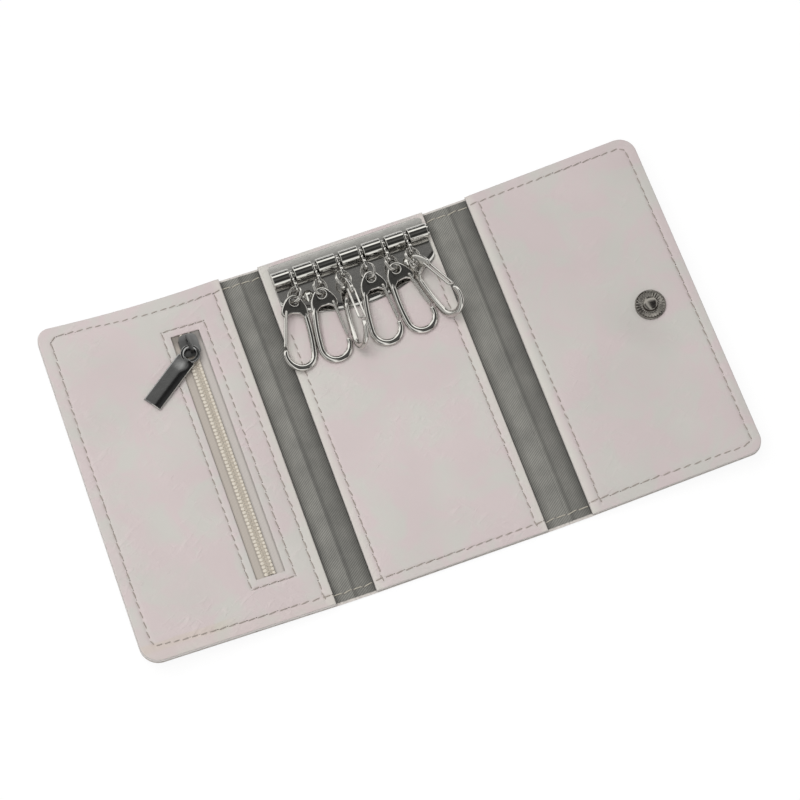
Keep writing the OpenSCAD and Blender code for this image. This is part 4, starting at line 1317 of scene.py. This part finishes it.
class KEYCASE_OT_seams(bpy.types.Operator):
    """The seams, on the inner side and through to the back"""
    bl_idname = "keycase.seams"
    bl_label = "Seams"

    def execute(self, context):
        pitch = settings().stitch_pitch * PER_METRE

        def left(points):
            """Corners on the left panel, as flat x and y."""
            return [(-LEFT_EDGE - u, y) for u, y in points]

        def right(points):
            """Corners on the flap, as flat x and y."""
            return [(RIGHT_EDGE + u, y) for u, y in points]

        sunk, top, low = 0.08, 0.02, -0.02
        lz, rz, mz = LEFT_Z - sunk, RIGHT_Z - sunk, MIDDLE_Z - sunk
        jobs = (
            ("seam_left", "left_panel", on_left, [
                stitches(left(LEFT_SEAM), lz + top, pitch),
                stitches(left(LEFT_SPINE), lz + top, pitch + 0.25),
                stitches(left(ZIP_BOX), lz + top, pitch - 0.1, closed=True, seed=5),
                stitches(left(LEFT_SEAM), low, pitch, below=True)]),
            ("seam_middle", "middle", on_middle, [
                stitches(MIDDLE_BASE, mz + top, pitch),
                stitches([(-MIDDLE_SEAM, -SEAM_Y - 1.7), (-MIDDLE_SEAM, 33.5)], mz + top, pitch),
                stitches([(MIDDLE_SEAM, -SEAM_Y - 1.7), (MIDDLE_SEAM, 36.5)], mz + top, pitch),
                stitches([(-MIDDLE_W / 2, SEAM_Y), (MIDDLE_W / 2, SEAM_Y)], low, pitch,
                         below=True),
                stitches(MIDDLE_BASE, low, pitch, below=True)]),
            ("seam_right", "right_panel", on_right, [
                stitches(right(RIGHT_SEAM), rz + top, pitch, seed=7),
                stitches(right(RIGHT_SPINE), rz + top, pitch),
                stitches(right(RIGHT_SEAM), low, pitch, below=True, seed=7)]))
        for name, body, place, parts in jobs:
            obj = add_piece(name, put(merge(parts), place),
                            [finish("thread"), finish("needle hole")])
            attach(obj, body)
        return {"FINISHED"}


# the plate's ends, its lowest and highest edge and its top, then the tube's axis and radius
RAIL_LEFT, RAIL_RIGHT = -26.75, 28.45
RAIL_LOW, RAIL_HIGH, RAIL_Z = 34.5, 58.4, 3.6
TUBE_Y, TUBE_Z, TUBE_R = 52.0, 5.7, 2.7


def rail_plate():
    """The stamped plate: y runs from a low edge, RAIL_LOW + 8 (x / half)^2, to the top edge,
    with round corners. A line 0.10 exp(-(d / 0.5)^2) deep is pressed in, d its distance from 1.5
    above the low edge. Behind the tube the flange falls away to its edge as
    0.13 (1 - (1 - b)^1.6), b from 0 beside that edge to 1, and all edges are rounded over."""
    half, mid = (RAIL_RIGHT - RAIL_LEFT) / 2, (RAIL_RIGHT + RAIL_LEFT) / 2
    xs = lines(RAIL_LEFT, RAIL_RIGHT, 0.8)
    share = np.unique(np.concatenate([np.linspace(0, 1, 60), FINE / 22, 1 - FINE / 22]))
    x, t = np.meshgrid(xs, share, indexing="ij")
    off = np.abs(x - mid) / half
    end = np.clip((off - 0.93) / 0.07, 0, 1)
    low = RAIL_LOW + 8.0 * off ** 2 + 1.2 * (1 - np.sqrt(1 - 0.98 * end ** 2))
    high = RAIL_HIGH - 0.9 * (1 - np.sqrt(1 - 0.98 * end ** 2))
    y = low + (high - low) * t
    edge = np.minimum(np.minimum(x - RAIL_LEFT, RAIL_RIGHT - x), np.minimum(y - low, high - y))
    behind = np.clip((58.6 - y) / 4.2, 0, 1)
    lift = 0.13 * np.where(y > 52, 1 - (1 - behind) ** 1.6, 0)
    pressed = 0.10 * np.exp(-((y - low - 1.5) / 0.5) ** 2)
    top = RAIL_Z + lift - pressed - rounding(edge, 0.24)
    return shell(x, y, top, np.full_like(x, 3.02))


def rail_tube(start, end):
    """A length of the rolled tube: a hollow round section carried along x, whose radius is
    TUBE_R (0.996 + 0.0045 sin 11a + 0.003 sin(17a + 1)) at angle a, the faint flats that
    rolling leaves. Its bore stays round."""
    profile = np.array([(2.2, start + 0.12), (2.32, start), (2.55, start), (2.66, start + 0.05),
                        (TUBE_R, start + 0.16), (TUBE_R, start + 0.3), (TUBE_R, end - 0.3),
                        (TUBE_R, end - 0.16), (2.66, end - 0.05), (2.55, end),
                        (2.32, end), (2.2, end - 0.12), (2.2, start + 0.12)])
    steps = 144
    a = np.linspace(0, 2 * np.pi, steps, endpoint=False)
    share = 1 - 0.004 + 0.0045 * np.sin(11 * a) + 0.003 * np.sin(17 * a + 1)
    r = profile[:, 0][None] * np.where(profile[:, 0][None] > 2.4, share[:, None], 1)
    points = np.stack([np.broadcast_to(profile[:, 1][None], r.shape),
                       TUBE_Y + r * np.cos(a)[:, None], TUBE_Z + r * np.sin(a)[:, None]], -1)
    points = points.reshape(-1, 3)
    return points, turned_faces(steps, len(profile))[:, ::-1], 1, points.copy()


class KEYCASE_OT_key_rail(bpy.types.Operator):
    """The stamped rail with its rolled tube, its pin and its two rivets"""
    bl_idname = "keycase.key_rail"
    bl_label = "Key rail"

    def execute(self, context):
        hung = [joint_point(f"hanger_swing_{k}")[0] for k in range(1, 7)]
        starts = [RAIL_LEFT] + [x + 0.95 for x in hung]
        ends = [x - 0.75 for x in hung] + [RAIL_RIGHT]
        parts = [tagged(rail_plate(), 0)]
        parts += [rail_tube(a, b) for a, b in zip(starts, ends)]
        rail = add_piece("rail_stamping", merge(parts),
                         [finish("plate metal"), finish("bright metal")])
        rivets = softened("rail_rivets", "rivet_heads", finish("bright metal"), 0.25, 3, 40)
        for obj, node in ((rail, "rail"), (rivets, "rail_rivets")):
            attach(obj, "middle")
            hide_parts(node)
        dress("rail_pin", "bright metal")
        return {"FINISHED"}


# the gate's pivot, across and down from the hook's eye, and how far each split ring is turned
# about the line from its hanger to its hook
SHOULDER = (3.1, 3.6)
RING_TURN = (50, -50, -62, 50, -50, -58)


def hook_axes(k):
    """Hook k's own frame, from its eye, its gate's pivot and the gate's axis."""
    eye = joint_point(f"hook_swing_{k}")
    normal = -np.array(JOINTS[f"gate_press_{k}"]["axis"], float)
    arm = joint_point(f"gate_press_{k}") - eye
    arm /= np.linalg.norm(arm)
    a = np.arctan2(SHOULDER[1], SHOULDER[0])
    across = np.cos(a) * arm + np.sin(a) * np.cross(normal, arm)
    return eye, np.stack([across, np.cross(normal, across), normal], 1)


def hook_wire():
    """The bent wire: a long arc of radius back_r down the back, a bend of radius r through 192
    degrees and the nose, with an oval section, 0.78 as high as wide, that thins at both
    ends."""
    back_r, r, centre, drop = 62, 4.86, -0.3, 18.4
    sweep = np.arcsin((drop - 3.4) / back_r)
    back = np.linspace(sweep, 0, 28)[:-1]
    up = np.stack([centre - r + back_r * (1 - np.cos(back)), -drop + back_r * np.sin(back)], 1)
    bend = np.linspace(np.pi, 2 * np.pi + np.radians(12), 40)
    low = np.stack([centre + r * np.cos(bend), -drop + r * np.sin(bend)], 1)
    path = np.vstack([up, low])
    run = path[-1] - path[-2]
    run /= np.linalg.norm(run)
    tip = path[-1] + run * np.array([0.2, 0.38, 0.46])[:, None]
    path = np.vstack([path, tip])
    thick = 1.16
    radius = np.full(len(path), thick)
    radius[-18:-3] = np.linspace(thick, 0.86, 15)
    radius[-3:] = [0.74, 0.44, 0.05]
    radius[:6] = np.linspace(0.80, thick, 6)
    return tube(np.column_stack([path, np.zeros(len(path))]), radius, 18, flatten=0.78)


def hook_head():
    """The head: a plate round the eye whose outline is a radius for each angle, arched over the
    opening and reaching down the back and out to the gate's pivot. Across it the height is
    level at 0.70, with a quarter round of 0.34 at the eye and of 0.62 at the outline."""
    control = np.array([
        (90, 2.62), (60, 2.62), (30, 2.75), (5, 3.15), (-15, 4.0), (-28, 5.0), (-38, 6.0),
        (-48, 6.55), (-56, 6.45), (-61, 6.0), (-64, 5.4), (-67, 4.9), (-72, 4.5), (-80, 4.26),
        (-90, 4.2), (-100, 4.26), (-108, 4.5), (-113, 5.0), (-116, 5.8), (-119, 6.8),
        (-123, 7.4), (-127, 7.6), (-131, 7.3), (-136, 6.7), (-142, 6.0), (-150, 5.25),
        (-162, 4.3), (-178, 3.4), (-205, 2.72), (-235, 2.62), (-270, 2.62)])[::-1]
    steps = 160
    angle = np.linspace(-180, 180, steps, endpoint=False)
    xs = np.concatenate([control[:, 0] - 360, control[:, 0], control[:, 0] + 360])
    rs = np.tile(control[:, 1], 3)
    order = np.argsort(xs)
    outer = np.interp(angle, xs[order], rs[order])
    kernel = np.array([1, 2, 1]) / 4
    outer = sum(w * np.roll(outer, s) for w, s in zip(kernel, range(-1, 2)))
    inner, h = 1.45, 0.70
    lip, roll = 0.34, 0.62
    wide = outer[:, None] - inner
    turn_in = np.linspace(0, np.pi / 2, 5)
    a = np.radians(angle)[:, None]
    near = [lip * (1 - np.cos(t)) for t in turn_in]
    near_z = [h - lip + lip * np.sin(t) for t in turn_in]
    mid = [0.25, 0.5, 0.75]
    far = [roll * (1 - np.cos(t)) for t in turn_in][::-1]
    far_z = [h - roll + roll * np.sin(t) for t in turn_in][::-1]
    out = [np.broadcast_to(v, wide.shape) for v in near]
    out += [lip + (wide - lip - roll) * m for m in mid]
    out += [wide - v for v in far]
    level = near_z + [h] * 3 + far_z
    out = np.hstack(out + out[::-1])
    z = np.array(level + [-v for v in level[::-1]])[None]
    r = inner + out
    r, z = np.hstack([r, r[:, :1]]), np.hstack([z, z[:, :1]])
    points = np.stack([r * np.cos(a), r * np.sin(a), np.broadcast_to(z, r.shape)], -1)
    points = points.reshape(-1, 3)
    return points, turned_faces(steps, r.shape[1])[:, [1, 2, 3, 0]], 0, points.copy()


def gate_wire():
    """The gate: one thin wire that leaves the head on one side, runs down, crosses at the nose
    and runs back up the other side. Each bend at q starts at a and ends at b, 0.42 from it at
    the most, as (1 - t)^2 a + 2 t (1 - t) q + t^2 b."""
    (x0, y0), (x1, y1) = SHOULDER, (4.463, 15.86)
    half, inside, cut = 1.15, 0.45, 0.42
    key = np.array([(x0, -y0, inside), (x0, -y0, half), (x1, -y1, half), (x1, -y1, -half),
                    (x0, -y0, -half), (x0, -y0, -inside)], float)
    out = [key[0]]
    for p, q, r in zip(key[:-2], key[1:-1], key[2:]):
        a = q + (p - q) / np.linalg.norm(p - q) * min(cut, np.linalg.norm(p - q) / 2)
        b = q + (r - q) / np.linalg.norm(r - q) * min(cut, np.linalg.norm(r - q) / 2)
        t = np.linspace(0, 1, 6)[:, None]
        out.extend((1 - t) ** 2 * a + 2 * t * (1 - t) * q + t * t * b)
    out.append(key[-1])
    path = np.array(out)
    keep = np.concatenate([[True], np.linalg.norm(np.diff(path, axis=0), axis=1) > 1e-4])
    return tube(path[keep], 0.40, 8, up=(0.93, 0.36, 0.05))


def split_ring(k):
    """Two close turns of wire, a over 0.35 to 4 pi - 0.15, round the middle between the hanger
    and the hook. They are shifted along the ring's axis by 0.30 tanh(1.6 (a - 2 pi)), so that
    they cross over where the ring is sprung open."""
    top, bottom = joint_point(f"ring_swing_{k}"), joint_point(f"hook_swing_{k}")
    centre = (top + bottom) / 2
    down = (bottom - top) / np.linalg.norm(bottom - top)
    lean = np.arctan2(down[0], -down[1])
    side = np.array([np.cos(lean), np.sin(lean), 0])
    ahead = -down
    over = np.cross(side, ahead)
    t = np.radians(RING_TURN[k - 1])
    axis = np.cos(t) * side - np.sin(t) * over
    cross = np.cross(axis, ahead)
    a = np.linspace(0.35, 4 * np.pi - 0.15, 110)
    shift = 0.30 * np.tanh((a - 2 * np.pi) * 1.6)
    r = float(np.linalg.norm(bottom - top)) / 2
    path = (centre + r * (np.cos(a + 0.9)[:, None] * ahead + np.sin(a + 0.9)[:, None] * cross)
            + shift[:, None] * axis)
    return tube(path, 0.31, 8, up=axis)


class KEYCASE_OT_key_hooks(bpy.types.Operator):
    """The six hangers, split rings, hooks and sprung gates"""
    bl_idname = "keycase.key_hooks"
    bl_label = "Key hooks"

    def execute(self, context):
        metal = finish("hook metal")
        for k in range(1, 7):
            hanger = softened(f"hanger_{k}", f"hanger_plate_{k}", metal, 0.14, 2, 40)
            ring = add_piece(f"split_ring_{k}", split_ring(k), [metal])
            eye, axes = hook_axes(k)
            hook, gate = (
                add_piece(f"{name}_{k}", put(part, lambda p: p @ axes.T + eye), [metal])
                for name, part in (("snap_hook", merge([hook_wire(), hook_head()])),
                                   ("gate_wire", gate_wire())))
            for obj, word in ((hanger, "hanger"), (ring, "ring"), (hook, "hook"),
                              (gate, "gate")):
                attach(obj, f"{word}_{k}")
                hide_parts(f"{word}_{k}")
        return {"FINISHED"}


class KEYCASE_OT_snap(bpy.types.Operator):
    """The snap's stud in its ribbed dish, and the socket in the other panel"""
    bl_idname = "keycase.snap"
    bl_label = "Snap"

    def execute(self, context):
        ribs = settings().snap_ribs

        def pressed(angle, radius):
            """Ribs 0.11 sin(ribs times angle) high, let in from radius 2.7 to 3.0 and out
            again from 4.45 to 4.7."""
            band = np.clip((radius - 2.7) / 0.3, 0, 1) * np.clip((4.7 - radius) / 0.25, 0, 1)
            return 0.11 * np.sin(ribs * angle) * band

        profile = [(1.5, -0.9), (5.08, 0.02), (5.2, 0.2), (5.2, 0.6), (5.1, 0.82), (4.94, 0.9),
                   (4.78, 0.86), (4.68, 0.74), (4.4, 0.62), (4.0, 0.52), (3.6, 0.44),
                   (3.2, 0.38), (2.85, 0.36), (2.6, 0.45), (2.45, 0.7), (2.38, 1.0), (2.36, 1.4),
                   (2.42, 1.7), (2.42, 1.9), (2.3, 2.12), (2.05, 2.3), (1.7, 2.44), (1.3, 2.53),
                   (0.9, 2.58), (0.5, 2.61), (0.2, 2.62), (0.01, 2.62)]
        place = np.array([RIGHT_EDGE + SNAP_U, 0, RIGHT_Z])
        dish = put(lathe(profile, ribs * 8, pressed), lambda p: on_right(p + place))
        stud = add_piece("stud", dish, [finish("snap metal")])
        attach(stud, "right_panel")
        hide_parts("snap_stud")
        socket = softened("snap_socket", "socket", finish("snap metal"), 0.15, 3, 40)
        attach(socket, "left_panel")
        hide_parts("snap_socket")
        dress("stud_cap", "snap metal")
        dress("socket_cap", "snap metal")
        return {"FINISHED"}


def aim(obj, place, target):
    """Stands a lamp or the camera at a place, looking at a target, level."""
    place, target = np.array(place, float), np.array(target, float)
    back = place - target
    back /= np.linalg.norm(back)
    right = np.cross([0, 0, 1], back)
    if np.linalg.norm(right) < 1e-6:
        right = np.array([1.0, 0, 0])
    right /= np.linalg.norm(right)
    up = np.cross(back, right)
    m = Matrix.Identity(4)
    for i, axis in enumerate((right, up, back, place)):
        for row in range(3):
            m[row][i] = float(axis[row])
    obj.matrix_world = m


# the floor's half side and the lamp are in metres; the floor lies just under the back's thread
FLOOR_SIZE, FLOOR_Z = 6.0, -0.35
LAMP_AT, LAMP_SIZE = (-0.24, 0.02, 1.0), (0.9, 0.7)
CAMERA_AT, CAMERA_AIM = (-87.22, -240.24, 738.80), (-0.10, -0.31, 0.0)
CAMERA_LENS, CAMERA_SENSOR = 105.6, 36
# what metal mirrors: the studio's brightness along x and along y, from -1 to 1
BANDS = (
    ((-1.0, 0.4), (-0.88, 0.9), (-0.74, 0.25), (-0.5, 0.3), (-0.34, 1.3), (-0.17, 1.2),
     (-0.09, 0.5), (-0.02, 0.15), (0.04, 0.04), (0.3, 0.02), (0.6, 0.03), (0.72, 0.4),
     (0.8, 1.25), (0.92, 1.0), (1.0, 0.4)),
    ((-1.0, 1.2), (-0.9, 1.1), (-0.83, 0.15), (-0.62, 0.03), (-0.45, 0.16), (-0.3, 0.04),
     (-0.12, 0.2), (0.02, 0.05), (0.15, 0.09), (0.27, 0.03), (0.325, 0.05), (0.345, 0.25),
     (0.385, 0.26), (0.41, 0.5), (0.45, 0.75), (0.475, 1.45), (0.73, 1.45), (0.78, 0.2),
     (0.86, 0.25), (0.9, 0.03), (1.0, 0.02)))


class KEYCASE_OT_studio(bpy.types.Operator):
    """The pale floor, the soft studio light and the camera"""
    bl_idname = "keycase.studio"
    bl_label = "Studio"

    def execute(self, context):
        size, z = FLOOR_SIZE, FLOOR_Z * MM
        mesh = bpy.data.meshes.new("floor")
        mesh.from_pydata([(-size, -size, z), (size, -size, z), (size, size, z), (-size, size, z)],
                         [], [(0, 1, 2, 3)])
        floor = add_object("floor", mesh)
        n = surface("white floor")
        n.set(Roughness=1.0, Specular_IOR_Level=0.0, Emission_Color=(1, 1, 1, 1))
        rays = n.add("ShaderNodeLightPath")
        seen = n.math("MAXIMUM", rays.outputs["Is Camera Ray"], rays.outputs["Is Glossy Ray"])
        seen = n.math("MAXIMUM", seen, rays.outputs["Is Transmission Ray"])
        n.link(n.mix(seen, (0.8, 0.8, 0.8), (0.13, 0.13, 0.13)), n.shader.inputs["Base Color"])
        n.link(n.math("MULTIPLY", seen, 0.89), n.shader.inputs["Emission Strength"])
        mesh.materials.append(n.block)

        world = bpy.data.worlds.new("studio")
        context.scene.world = world
        n = Nodes(world)
        n.tree.nodes.clear()
        ways = n.axes(n.add("ShaderNodeTexCoord").outputs["Generated"])
        across, along = (
            n.ramp(n.span(way, -1, 1, 0, 1), [((at + 1) / 2, (v, v, v)) for at, v in stops])
            for way, stops in zip(ways, BANDS))
        shine = n.add("ShaderNodeBackground", Color=(1.0, 1.0, 0.97, 1))
        n.link(n.math("MAXIMUM", across, along), shine.inputs["Strength"])
        white = n.add("ShaderNodeBackground")
        light = n.add("ShaderNodeBackground", Strength=0.50).outputs[0]
        rays = n.add("ShaderNodeLightPath")
        for ray, other in (("Is Glossy Ray", shine), ("Is Camera Ray", white)):
            choice = n.add("ShaderNodeMixShader")
            for socket, output in zip(choice.inputs, (rays.outputs[ray], light, other.outputs[0])):
                n.link(output, socket)
            light = choice.outputs[0]
        n.link(light, n.add("ShaderNodeOutputWorld").inputs["Surface"])

        lamp = bpy.data.lights.new("overhead", "AREA")
        lamp.shape = "RECTANGLE"
        lamp.size, lamp.size_y = LAMP_SIZE
        lamp.energy = settings().light
        overhead = add_object("overhead", lamp)
        overhead.visible_glossy = False
        aim(overhead, LAMP_AT, (0, 0, 0))
        camera = bpy.data.cameras.new("camera")
        camera.sensor_width = CAMERA_SENSOR
        camera.lens = CAMERA_LENS
        camera.clip_start, camera.clip_end = 0.01, 50
        obj = add_object("camera", camera)
        aim(obj, np.array(CAMERA_AT) * MM, np.array(CAMERA_AIM) * MM)
        context.scene.camera = obj
        context.scene.view_settings.view_transform = "Standard"
        return {"FINISHED"}


OPERATORS = (
    KEYCASE_OT_outer_leather,
    KEYCASE_OT_inner_leather,
    KEYCASE_OT_linings,
    KEYCASE_OT_zip,
    KEYCASE_OT_slider,
    KEYCASE_OT_seams,
    KEYCASE_OT_key_rail,
    KEYCASE_OT_key_hooks,
    KEYCASE_OT_snap,
    KEYCASE_OT_studio,
)


class KEYCASE_PT_panel(bpy.types.Panel):
    """Settings and pieces of the key case"""
    bl_idname = "KEYCASE_PT_panel"
    bl_label = "Key case"
    bl_space_type = "VIEW_3D"
    bl_region_type = "UI"
    bl_category = "Key Case"

    def draw(self, context):
        values = context.scene.key_case
        column = self.layout.column(align=True)
        for name in KeyCaseSettings.__annotations__:
            column.prop(values, name)
        column.separator()
        for operator in OPERATORS:
            column.operator(operator.bl_idname)


CLASSES = (KeyCaseSettings, *OPERATORS, KEYCASE_PT_panel)


def register():
    """Registers the classes and gives every scene its settings."""
    for part in CLASSES:
        bpy.utils.register_class(part)
    bpy.types.Scene.key_case = PointerProperty(type=KeyCaseSettings)


def unregister():
    """Takes the settings and the classes away again."""
    del bpy.types.Scene.key_case
    for part in reversed(CLASSES):
        bpy.utils.unregister_class(part)


def main():
    register()
    for operator in OPERATORS:
        family, name = operator.bl_idname.split(".")
        getattr(getattr(bpy.ops, family), name)()
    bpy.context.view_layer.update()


if __name__ == "__main__":
    main()
